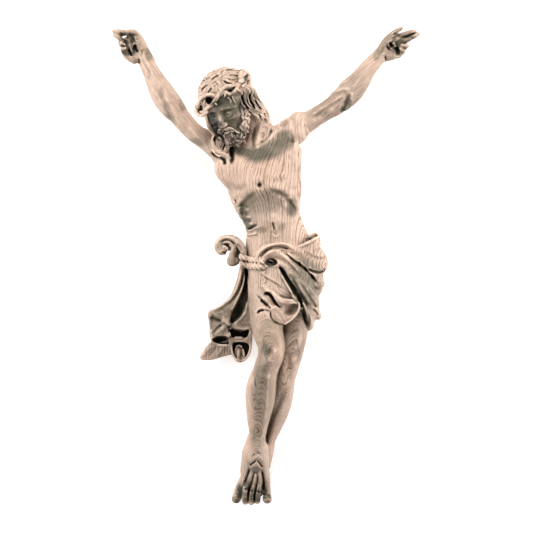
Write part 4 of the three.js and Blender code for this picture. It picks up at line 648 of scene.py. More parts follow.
def fine_hair(b):
    # under the locks
    roll(b, 3, (241, 88, 58, 10), (251, 104, 56, 10), (261, 116, 50, 6.5))
    roll(b, 4, (232, 86, 50, 15), (246, 102, 42, 13), (260, 120, 38, 9))
    roll(b, 3, (211, 100, 57, 8), (213.5, 112, 48, 6.6), (218.5, 126, 42, 6.6), (222, 136, 40, 5))
    b.ball(one(203, 106, 60), (5, 7.5, 6), 3)
    # waves swept back over the ear
    waves = [
        [(236, 89, 86), (240.6, 92, 83.5), (240.8, 98.5, 80), (243.4, 103.6, 77), (247.6, 107.6, 74),
         (253, 113, 69)],
        [(239.5, 88, 85), (244.4, 91.4, 82), (244, 98, 78.5), (247.2, 103.6, 75.5), (250.6, 108, 72.5),
         (258, 114, 66)],
        [(243, 87, 83), (248.4, 91, 80), (247.6, 97.5, 76.5), (250.6, 103, 73.5), (254.2, 107.6, 70.5),
         (262, 114, 63)],
        [(246, 86, 80), (251.4, 90.6, 76.5), (250.8, 96.6, 73.5), (253.8, 102, 71), (257.6, 107, 67.5),
         (265, 114, 59)],
        [(247.4, 85.6, 76), (253, 91.4, 72), (253.8, 97, 69), (256.6, 102.4, 66), (261, 107.4, 62),
         (266.6, 115, 55)],
        [(248, 85.4, 70), (253.2, 91.6, 66), (256.2, 98.6, 62), (260.4, 105, 57), (266, 112, 51),
         (269, 120, 46)],
        [(247.6, 86, 62), (252.8, 94, 56), (259, 103.4, 50), (266, 112, 45), (269.6, 121, 40)],
        [(247, 86, 54), (252, 96, 47), (259, 106, 42), (266.4, 115, 38), (270, 123, 35)],
    ]
    for i, wave in enumerate(waves):
        lock(b, at(*wave), 2.35 if i < 5 else 3, 4, 0.5, 0.7, 0.35, phase=0.9 * i)
    for i, curl in enumerate([
        [(252, 112, 69), (256, 115, 67), (258.5, 119, 63), (257.5, 122.5, 60)],
        [(257, 113, 67), (261.5, 116.5, 63.5), (263.5, 120.5, 59)],
        [(262, 113, 62), (266, 118, 57), (267.5, 123, 51)],
    ]):
        lock(b, at(*curl), 1.9, 3, 0.6, 0.8, 0.4, phase=i)
    # long locks at the other side, twined before the breast
    falls = [
        [[(207, 108, 67), (207, 114, 65), (207.4, 120, 63), (208.6, 126.4, 61.5), (211.6, 131.4, 60),
          (214, 135.4, 59), (212.8, 140.4, 58), (213.8, 145.6, 57), (217.2, 150.4, 57),
          (218.6, 155, 56.5)], 1.7, 0.4],
        [[(216.4, 130.6, 56), (221, 132.6, 60), (226.4, 135.4, 61), (229.8, 139.6, 61), (228.4, 145, 60),
          (225.4, 149.6, 59), (224.2, 153.6, 58)], 2.2, 0.8],
        [[(217.2, 151.2, 57.5), (221, 152.4, 58.5), (225.6, 155, 59), (229.2, 159, 59), (229, 163.2, 58.5),
          (226.8, 167.5, 57.5)], 1.8, 2],
        [[(211.6, 108.6, 72), (213.6, 112, 71), (215.4, 116.4, 69), (216.4, 121, 66)], 1.1, 1.5],
        [[(209, 118, 55), (210.6, 126, 55), (214, 132, 56), (219, 136.4, 57.5), (222.8, 140.4, 58.5),
          (223, 145.4, 58.5), (221, 149.6, 58)], 1.4, 2.4],
        [[(206.6, 109, 60), (206.4, 116, 57), (207.8, 124, 54), (211, 131, 52)], 1.8, 0.2],
        [[(212, 149.4, 56), (215.4, 153.2, 57), (219.4, 156.2, 57.5), (222.4, 154.4, 58)], 1.1, 0.9],
        [[(212.4, 124.6, 54), (212, 129.6, 56), (215, 134, 57)], 0.9, 0.6],
    ]
    for path, radius, phase in falls:
        lock(b, at(*path), radius, 3, 0.9, 0.8, 0.35, phase=phase)
    # strands that slip out below the crown onto the forehead
    for i, (x, drop) in enumerate(((-14.5, 7.5), (-11, 9.5), (-7, 6), (5.5, 6.5), (9.5, 8.5), (13.5, 10))):
        out = unit((0.06 * x, 0.25, 1))
        path = [outside(b, np.array([x + 1.1 * (-1) ** i * np.sin(4.5 * q), 11 - drop * q, 12]), out,
                        0.5 - 0.4 * q) for q in np.linspace(0, 1, 5)]
        lock(b, path, 1.1, 2, 0.5, 0.9, 0.3, HEAD, phase=i)
    # openings in and under the crown
    dug(b, (210, 101.2, 84), (5.2, 4, 10), (0.8, -0.6), 1)
    b.ball(one(230.4, 91.2, 88), (2.6, 1.5, 6), 0.8, cut=True)
    creased(b, 30,
        # gaps between the waves
        (1, -2.6, (241.8, 94), (242.2, 99), (244.8, 104.6), (250, 110.4)),
        (0.6, -1.3, (246.6, 98.4), (248.2, 103.6), (251.6, 108)),
        (0.9, -2.6, (250, 92.4), (249.6, 98), (251.8, 103.6), (256, 110)),
        (0.7, -1.7, (254.6, 99.4), (257.4, 105), (262, 110.4)),
        (0.8, -1.6, (258.6, 113.4), (261, 118.6)),
        (0.7, -1.2, (264, 113), (265.6, 118)),
        # about the loop of the long locks
        (1, -3.4, (213.8, 142.6), (215, 138), (219.4, 135.4), (223, 138.6), (223, 143.4), (220.6, 148.2)),
        # partings on the top of the head
        (0.9, -2, (211, 81), (215.5, 77.4), (220, 75.4)),
        (0.8, -1.8, (201, 92.6), (204.5, 88), (209, 84.4)),
        (1, -2.2, (208, 94), (210.4, 90.4), (212, 88.4)),
        (0.8, -1.4, (205.6, 80), (208.4, 78.6), (211, 78)),
        (0.8, -1.2, (212, 84.4), (215, 82.6), (217.4, 81.6)),
        (0.7, -1.2, (200.6, 85), (203, 82), (206, 79.8)),
        (0.8, -1.2, (214, 88), (216.4, 85), (219, 83)),
        (1, -2.2, (223, 81), (229, 84), (236, 85)),
        (0.8, -1.5, (228, 76), (233, 75.8), (239, 77.6)),
        (0.7, -1.2, (227, 79), (232, 80.2), (237, 80.6)),
        (0.8, -1.4, (225, 71), (230, 70.2), (235, 71.8)),
        (1.4, -0.8, (222.6, 68), (222, 76), (221.6, 86)),
    )


def twig(b, points, radius):
    """A branch of the crown, a little uneven and ridged along its length."""
    path = smooth_path(points, 6)
    count = np.arange(len(path))
    b.tube(path, radius * (1 + 0.1 * np.sin(count * 1.3 + radius * 7)), 0.35, smooth=False)
    side, up = beside(path, (0.3, 0.2, 0.9))
    for k in range(3):
        ridge = strand(path, side, up, 2.1 * k + 0.12 * count, 0.55 * radius, 0.55 * radius)
        b.tube(ridge, 0.55 * radius, 0.25, smooth=False)


def fine_crown(b):
    thick = TWIG / 2
    branches = [
        [[(201, 103, 50), (198.6, 110, 60), (198.8, 105.5, 69), (201, 99.6, 76.5), (205, 96, 83),
          (210.5, 95, 87.5), (217, 96.6, 90)], 0.95],
        [[(199.5, 112, 62), (203, 112.5, 73), (207, 109, 81), (212.5, 104, 88), (217, 98, 91),
          (221, 91.5, 92), (226, 87, 91), (233, 86, 88.5), (240, 85.2, 85), (247, 88, 79)], 0.9],
        [[(219, 95.4, 91), (225, 92.6, 91.5), (230, 94, 91.5), (235, 91.2, 89.5), (238.5, 85.4, 87),
          (240.8, 79.5, 83), (241.8, 73.5, 77), (244, 71, 70)], 0.85],
        [[(240, 86, 84), (240.2, 79, 80), (240.6, 74, 73), (242.6, 72.6, 66), (245, 76, 60)], 1],
        [[(207, 112, 80), (202.5, 116, 74), (197.8, 114.8, 68.5), (195.6, 109.6, 65.5), (197.5, 104.6, 62),
          (201, 100, 52)], 0.85],
        [[(242.4, 79.6, 79), (242.8, 75.4, 77), (245.2, 73.2, 74), (248.2, 74.6, 71), (249.4, 78.6, 69.5),
          (248.4, 82.6, 72), (245, 84, 76), (242.6, 81.4, 78.5)], 0.85],
        [[(244, 86, 80), (248.4, 86, 75), (250, 82.6, 69), (248.4, 79, 61)], 0.8],
    ]
    for path, share in branches:
        twig(b, at(*path), thick * share)
    for phase, amp, share in ((0, 3, 1), (125, 3.2, 0.9), (245, 2.8, 0.95)):
        line = []
        for angle in range(176, 378, 8):
            w = np.radians(3 * angle + phase)
            line.append(ring_point(angle, 0.5 * amp * np.cos(w), 1.1 * amp * np.sin(w)))
        twig(b, HEAD.out(line), thick * share)
    thorns = [
        [(199.5, 104.5, 69), (193.6, 105.4, 66)],
        [(245, 72.6, 75.5), (245.4, 68.4, 74)],
        [(249.4, 85.4, 74), (252.6, 87.4, 72)],
        [(206, 96, 84), (203, 92.4, 86)],
        [(214, 102.5, 89.5), (217.6, 105.6, 92)],
        [(221.5, 91, 93), (218, 87, 94.5)],
        [(232, 86, 89.5), (234.6, 81.6, 90)],
        [(236.5, 89, 90), (241, 92, 90.5)],
        [(226, 93, 92.5), (224.4, 97.4, 93.5)],
        [(197, 111, 67), (193.4, 113.4, 66)],
        [(205, 110.6, 78), (203, 106.4, 81)],
        [(248.8, 76, 71.5), (251.4, 74.6, 71)],
        [(242, 79, 83.5), (238, 76, 85)],
    ]
    for root, tip in thorns:
        b.tube(at(root, tip), [1.25, 0.4], 0.5, smooth=False)
    for i in range(8):
        angle = 192 + 22 * i
        s = 1 if i % 2 else -1
        root = ring_point(angle, 1, 2 * s)
        tip = ring_point(angle + 6 * s, 5.5, 5 * s)
        b.tube([root, tip], [1.3, 0.4], 0.5, frame=HEAD, smooth=False)


def fine_cloth(b):
    # wrapped about the hips and upper thighs, planed flat at the back
    b.loft([[-50, 1, 38, 31, 25], [-35, 1.5, 35, 33, 29], [-15, 1.8, 32, 35.5, 31], [-4, 1.5, 32, 36, 30]],
           3, cap=5, power=2.4)
    b.ball((2, -6, 24 - SINK), (34, 34, 26), 6)
    # apron that thickens from the outside of the thigh towards its hem
    hem = at((244, 262), (262, 262), (280, 268), (296, 290), (300, 304), (288, 308), (272, 310),
             (262, 312), (246, 313.5), (243, 290))
    low, high = hem.min(0) - 2, hem.max(0) + 2
    part, x, y, z = b.window((low[0], low[1], 30), (high[0], high[1], 100), WORLD, 0)
    share = np.clip(0.5 - outline_distance(x, y, hem) / 0.8, 0, 1) * np.clip((x + 32) / 9, 0, 1)
    b.field[part] -= (CLOTH * share * (z > 30)).astype(np.float32)
    # lobe turned out at the hem
    pane(b, [70, 0.25, 0.1], 48, 3, 2, (270, 309), (280, 304), (291, 302), (298.5, 304.5), (298, 312),
         (293.5, 319), (285, 324.5), (276, 321.5), (270.5, 316))
    roll(b, 5, (264, 286, 64, 1.4), (270, 292.6, 68, 2.8), (279, 300, 71, 3.4), (291, 302.6, 73, 2.6))


def fine_swag(b):
    pane(b, [50, -0.55, 0], [14, 0.25, 0], 6, 13, (292, 254), (305, 245), (318, 238), (320, 246),
         (325, 254), (328.3, 263), (326, 270.6), (323, 275), (324.3, 283), (320.5, 293), (316.6, 303),
         (320.2, 313),
         (315, 320), (310, 328), (303, 320), (296, 300), (284, 280), (282, 262))
    roll(b, 1.5, (257.5, 259, 59, 2.2), (260, 251.5, 61.5, 2.8), (268, 247, 62.5, 3.2),
         (282, 246, 60.5, 3.4), (294, 250, 57, 4), (304, 257, 52, 4.5))
    roll(b, 4, (262, 258, 60, 2.6), (270, 253, 63, 3.4), (284, 256, 63, 4.4), (296, 264, 58, 5.4),
         (309, 275, 50, 5.6), (318, 284, 38, 5.5), (316, 288, 24, 5))
    roll(b, 5, (300, 252, 53, 4), (311, 254, 45, 5.5), (319, 257, 35, 6), (318, 258, 22, 5))
    roll(b, 4, (304, 262, 52, 4), (314, 264, 44, 5), (320, 265, 34, 5.4), (317, 265, 22, 5))
    roll(b, 3.5, (266, 260, 61, 2.6), (280, 265, 65, 3.8), (292, 276, 65, 4.8), (303, 290, 60, 5.6),
         (311.5, 301, 48, 6), (313.5, 304, 34, 5.6), (309, 300, 20, 5))
    roll(b, 3, (278, 267, 62, 2.2), (289, 283, 67, 3.2), (298, 300, 66, 4.2), (305, 314, 58, 4.8),
         (309, 325, 47, 4.6), (309, 324, 34, 4.2))
    roll(b, 2, (308, 302, 52, 2.5), (316, 312, 42, 3.4), (318.5, 317, 34, 2.8), (314, 314, 24, 3))
    # lips of the flare that stands off the waist
    roll(b, 1.5, (292, 250, 57, 1.6), (300, 246.2, 56.5, 1.6), (310, 241.6, 54, 1.5),
         (317.6, 237.6, 49, 1.3), (319, 240, 40, 1.6))
    roll(b, 1.5, (299, 245, 44, 3), (306, 240, 43, 1.6), (310, 235.8, 42, 1.4), (314.5, 233.6, 41, 1.4),
         (318, 234.4, 42, 1.4), (319, 237.4, 46, 1.3))
    pane(b, [43, -0.2, 0], [26, 0.2, 0], 2, 2.5, (292, 256), (296, 247), (305, 241.4), (310, 236.6),
         (315, 234.4), (318.6, 236.4), (320, 247), (308, 262))
    pane(b, [54, -0.3, 0], [36, 0, 0], 2, 2, (293, 251), (305, 245.6), (317, 239.5), (319.5, 247),
         (308, 254), (298, 256))
    roll(b, 0.8, (300, 244.6, 52, 1), (308, 240.4, 50.5, 2.2), (314.5, 236.8, 48, 1.8), cut=True)


def fine_train(b):
    # back layer
    pane(b, [30, 0.15, 0], [15, 0.12, 0], 3, 4, (243, 262), (251, 266), (252, 290), (252, 330), (249, 343),
         (232, 344), (212, 341), (209.5, 325), (211, 315), (221.5, 308), (231.5, 298), (236.5, 285),
         (239.5, 270))
    # outer fold, and the fall below it
    pane(b, [43, 0.10, 0.02], [22, 0, 0], 2, 3.2, (246, 263), (240, 266), (238, 276), (233.5, 290),
         (228.5, 299.5), (219, 307), (209.5, 310.5), (208.3, 316), (222, 322), (230, 326), (235, 316),
         (241.5, 302), (246, 286), (247.5, 268))
    pane(b, [37, 0.12, 0], [20, 0, 0], 1.5, 2.4, (209, 312), (222, 313), (229, 321), (231.5, 328),
         (231, 336), (224, 339.5), (212, 339.5), (209.4, 328))
    # inner lobe
    pane(b, [38, 0.05, 0.08], [20, 0, 0], 1.5, 2.5, (246, 297), (250, 291), (252, 300), (251.6, 327.5),
         (241, 330.6), (230, 327.5), (228.5, 324), (236, 320), (243, 311))
    pane(b, [100, 0, 0], [25, 0, 0], 4.5, 3, (246.3, 269), (247.6, 296), (243.6, 309), (236, 318.5),
         (230.5, 322.5), (232, 313), (238.5, 300), (243.6, 284), cut=True)
    # pointed flap
    pane(b, [31, 0.22, 0.12], [15, 0, 0], 1.5, 1.6, (211.5, 341), (219, 344), (232, 345), (235, 351),
         (231.5, 354.5), (222, 357), (211, 360.3), (199.6, 359), (203.5, 350))
    # loop at the right, with a tongue in it
    pane(b, [35, 0, 0.05], [17, 0, 0], 1.5, 2, (229, 337), (236, 340), (245, 338), (246.5, 326),
         (252, 326), (252, 346), (249.6, 355), (245.4, 360.3), (240.5, 362.4), (235.4, 360.6),
         (231.4, 354), (229.5, 345))
    pane(b, [100, 0, 0], [21, 0, 0], 1, 1.2, (232.6, 344.4), (237, 342.2), (246, 342.8), (249.4, 346.5),
         (247.6, 354), (244, 359), (237, 359), (233.4, 353), cut=True)
    pane(b, [32, 0, 0.08], [17, 0, 0], 1, 1.2, (234.6, 352), (236, 346.5), (238.8, 344.6), (242, 346.5),
         (244.6, 353), (245, 359), (240.5, 362.2), (235.6, 360.2))
    roll(b, 1.2, (238.6, 347, 30, 1.2), (238.4, 353, 32.6, 1.8), (238.6, 360, 32, 1.6))
    # roll that opens downwards
    roll(b, 1.6, (214.6, 335.4, 28, 4.2), (219.4, 331.6, 33, 4.4), (224.6, 327, 36, 3.2),
         (229.4, 323.4, 37, 1.4))
    roll(b, 2, (222, 335.4, 30, 4), (226, 330.6, 33, 2.8), (229.6, 326, 34, 1.4))
    # openings under the folds
    pane(b, [100, 0, 0], [19, 0, 0], 1, 1.2, (230.5, 329.3), (241, 332), (248.6, 329.5), (247.8, 336),
         (244, 338), (233, 338), cut=True)
    roll(b, 0.8, (232.4, 339.6, 31, 1.2), (236, 338.4, 33, 1.8), (241, 338.6, 33, 1.8),
         (245.4, 340, 31, 1.2))
    dug(b, (220.4, 339.4, 38), (8.4, 3.6, 17), (0.995, 0.1), 1)


def fine_knot(b):
    # a ribbon drawn up through the girdle, curling over
    roll(b, 1, (243.5, 260, 44, 2.6), (243.4, 251.5, 44, 3.4), (239.6, 244.6, 43.5, 4.2),
         (233.5, 240.4, 43, 4.8), (226.5, 239.2, 42, 4.6), (220.5, 241.4, 41, 4.3), (218, 246.4, 40, 4),
         (219.6, 250.3, 39, 3.6), (223.6, 250.8, 39, 3))
    roll(b, 0.8, (220, 247, 41, 2.6), (224, 247.4, 43, 2.4), (228, 249.6, 42.5, 1.8))
    roll(b, 3, (236, 247, 34, 4.6), (228, 246, 33, 4.8), (222, 248, 32, 4.4))
    b.ball(one(222, 250.8, 40), (6.2, 4.6, 5), 1.2)
    roll(b, 2, (240, 249, 36, 4), (238, 255, 35, 4.4), (236, 260, 35, 4))
    # its end hangs down before the girdle
    roll(b, 1.2, (232, 245, 43, 3), (233.2, 251, 44, 3.6), (232.4, 257, 43.5, 4.2),
         (231.6, 261.6, 42.5, 4.6))
    b.ball(one(233.2, 261, 41), (6.4, 5.2, 5), 2)
    roll(b, 2, (244.5, 253, 40, 3.4), (246, 257, 38, 5), (247, 263, 36, 5))
    b.swell(one(235.4, 256.6, 47), (2.6, 4.6, 6), -2)
    creased(b, 38,
        (1.1, -2.6, (220.5, 243.5), (223.5, 240.6), (228, 240), (232.5, 242), (236, 245.4)),
        (0.9, 0.8, (216, 247), (217, 242), (221, 238.4), (227, 236.9), (233, 238.2), (239, 242.4)),
        (1.2, -1.4, (236.5, 244), (240, 247), (242.3, 252)),
        (0.9, -2.6, (221, 252.2), (225.5, 252.3), (229.6, 249.6), (230.6, 246)),
    )


def fine_creases(b):
    """Deep creases of the apron, which go into the thigh behind it too."""
    creased(b, 10,
        (0.8, -2, (256, 294.6), (260.4, 298.4), (264.6, 303), (268.4, 306.2), (271.6, 309.6)),
        (1.5, -3.4, (260.4, 299.2), (264.4, 303.2), (268.4, 306.4)),
        (0.8, -2.2, (264, 297.8), (265.2, 293.8), (269.2, 293), (272.4, 296.6), (275.4, 302.6),
         (279.6, 306.6), (285, 307)),
        (1.4, -3.6, (264.8, 295), (268, 293.4), (271.4, 296), (274, 300.6), (277, 305)),
        (0.7, -1.8, (256.6, 314.2), (259.2, 311.2), (264.6, 310.2), (270.4, 311.6)),
        (1.2, -2.6, (257.2, 313.4), (260, 311), (264.6, 310.4)),
        (0.7, -2.4, (270.6, 310.6), (270.8, 316.6), (273.6, 321.4), (279, 324.8)),
    )


def fine_carving(b):
    fine_creases(b)
    creased(b, 10,
        # hem of the roll at the waist
        (1, 1.1, (257, 258), (261.5, 250.4), (270, 245.2), (283, 243.2), (294, 248)),
        (1.5, -3, (259, 258), (263.6, 253), (271, 248.4), (283, 247), (295, 251.6)),
        (2.2, 1.6, (263, 257.5), (269, 252.4), (277, 250.6), (286, 257.5), (296, 268), (306, 281),
         (314, 293), (319, 304)),
        # valleys that sweep over the hip
        (1.4, -3, (276, 249.4), (284, 253), (292, 260), (300, 265.5), (307, 271.5), (313, 278.5),
         (320, 286)),
        (4, -1.8, (286, 255), (296, 263), (308, 273), (318, 284)),
        (1.9, -5.4, (278, 263), (281.4, 268.6), (286.6, 278), (293.6, 290.4), (299.4, 301), (302.6, 311),
         (304.8, 320), (306.8, 328)),
        (1.8, -1.8, (287, 272), (292, 279), (298, 289), (303, 299), (308, 309)),
        (1, 0.9, (281, 264.5), (288, 274.5), (295, 285), (301, 296), (305.4, 307), (308, 320)),
        (1.6, -1.6, (299, 281), (306, 292), (313, 303), (317, 309)),
        (1.3, -2.6, (327, 267.4), (320, 272), (313, 271.4), (306, 268)),
        (1.5, -1.5, (325, 286), (319, 289), (311, 287)),
        (2, -1.2, (302, 251), (310, 256), (319, 258.6), (326, 257)),
        (1.1, -1.6, (312, 308), (315.6, 312), (318, 315.6)),
        (1, -2.2, (298, 262), (300.6, 266.2)),
        (1, -2.2, (304, 267.2), (306.8, 271.8)),
        (1, -2.2, (310.6, 274.2), (313.8, 279.2)),
        # the apron's overlap, soft folds and creases
        (1.3, 0.9, (258, 269.6), (267, 276.6), (276, 281.4), (285, 288.6)),
        (1.4, -1.2, (259, 272.4), (267.5, 279.2), (276, 284.2), (284, 290.6)),
        (1.4, 0.9, (266, 291.6), (271, 290.6), (276, 294.6), (281, 300.6)),
        (1.2, 0.7, (258, 307.4), (263, 307.8), (268, 309)),
        (1.2, 1.3, (261.4, 298), (265.6, 299.4), (269.4, 303), (271.6, 308)),
        (0.9, -0.9, (275, 309), (280, 315), (284.4, 324)),
        (0.9, -0.8, (278, 308), (284, 313.6), (288, 321)),
        (2.2, 0.9, (266, 284), (276, 291), (288, 296), (297, 300)),
        (2.5, -0.7, (262, 277), (270, 286), (280, 295)),
    )
    # the turned-out hem, hollow inside a thin lip
    dug(b, (290.6, 310.6, 75), (9.4, 5.8, 11), (0.84, 0.54))
    b.tube(at((284, 306, 72), (291, 303.4, 72), (297.6, 302.4, 71), (299.4, 305.6, 71), (298, 312, 72),
              (292, 319, 72), (285, 324, 71)), 0.9, 0.5)
    # folds of the train
    creased(b, 10,
        (1.4, 1.4, (242.5, 266), (239, 281), (233, 295), (223, 304.6), (212, 310)),
        (1.1, -1.6, (243.6, 270), (241, 284), (235, 297), (226, 308)),
        (1, 1, (244.6, 272), (243, 286), (237, 300), (230, 313)),
        (2.4, -1.8, (210, 316.6), (216, 318.6), (223, 320)),
        (1.2, -1.6, (211.6, 334.4), (215.6, 330.2), (219.6, 326.4), (222.6, 324)),
        (0.9, -1, (228.4, 325.6), (229, 329), (228.6, 334)),
        (2, -0.8, (213.4, 319.4), (212.4, 325), (210.8, 331)),
        (1.4, -0.8, (213, 312), (220, 311), (228, 305)),
        (1.6, -0.8, (236, 322.6), (242, 326), (250, 326)),
        (1.2, 0.8, (246, 300), (245.6, 312), (238, 322)),
        (1.6, 0.9, (213, 344.6), (207, 351), (202, 357)),
        (1.2, -0.9, (217, 346), (213.6, 352), (208, 357)),
        (1.2, 0.7, (222, 346.6), (220, 352), (216, 356.6)),
        (1.2, -0.8, (226, 347), (226, 352.6)),
        (0.8, -1.6, (241.6, 347), (241.6, 358)),
    )
    # where the cords go in under the cloth
    dug(b, (271.8, 262.2, 66), (6, 3.6, 9), (0.99, -0.12))
    b.tube(at((265.6, 260.6, 61.5), (269.4, 259.9, 62.4), (273.4, 261.4, 61), (277, 264, 59)), 0.85, 0.3)
    b.tube(at((266, 264.2, 61.5), (270, 265, 62), (274, 263.6, 60)), 0.8, 0.3)


def fine_rope(b):
    # two cords side by side, each of three strands
    for y0, y1, end in ((257, 260.4, 0.90), (264, 264.6, 0.94)):
        line = []
        for i in range(9):
            t = i / 8 * end
            p = one(240.5 + 34 * t, y0 + (y1 - y0) * t + 2.4 * np.sin(0.9 * np.pi * t), 0)
            line.append([p[0], p[1], max(b.front(p[0], p[1]), 46) + 1 - 5 * max(t - 0.66, 0) / 0.2])
        path = smooth_path(line, 8)
        gone = np.concatenate([[0], np.cumsum(np.linalg.norm(np.diff(path, axis=0), axis=1))])
        b.tube(path, 0.30 * CORD, 0.5, smooth=False)
        for k in range(3):
            a = 2 * np.pi * (k / 3 + gone / 15)
            shift = np.column_stack([np.zeros(len(a)), 0.33 * CORD * np.cos(a), 0.30 * CORD * np.sin(a)])
            b.tube(path + shift, 0.25 * CORD, 0.05, smooth=False)
    # frayed ends below the cords
    for x0, y0, x1, y1 in ((248, 267, 249, 271.6), (251, 267, 250.4, 270.4), (259, 267, 259.6, 270)):
        path = [[x, y, b.front(x, y) + 0.3] for x, y, _ in at((x0, y0, 0), (x1, y1, 0))]
        b.tube(path, [1, 0.5], 0.6, smooth=False)


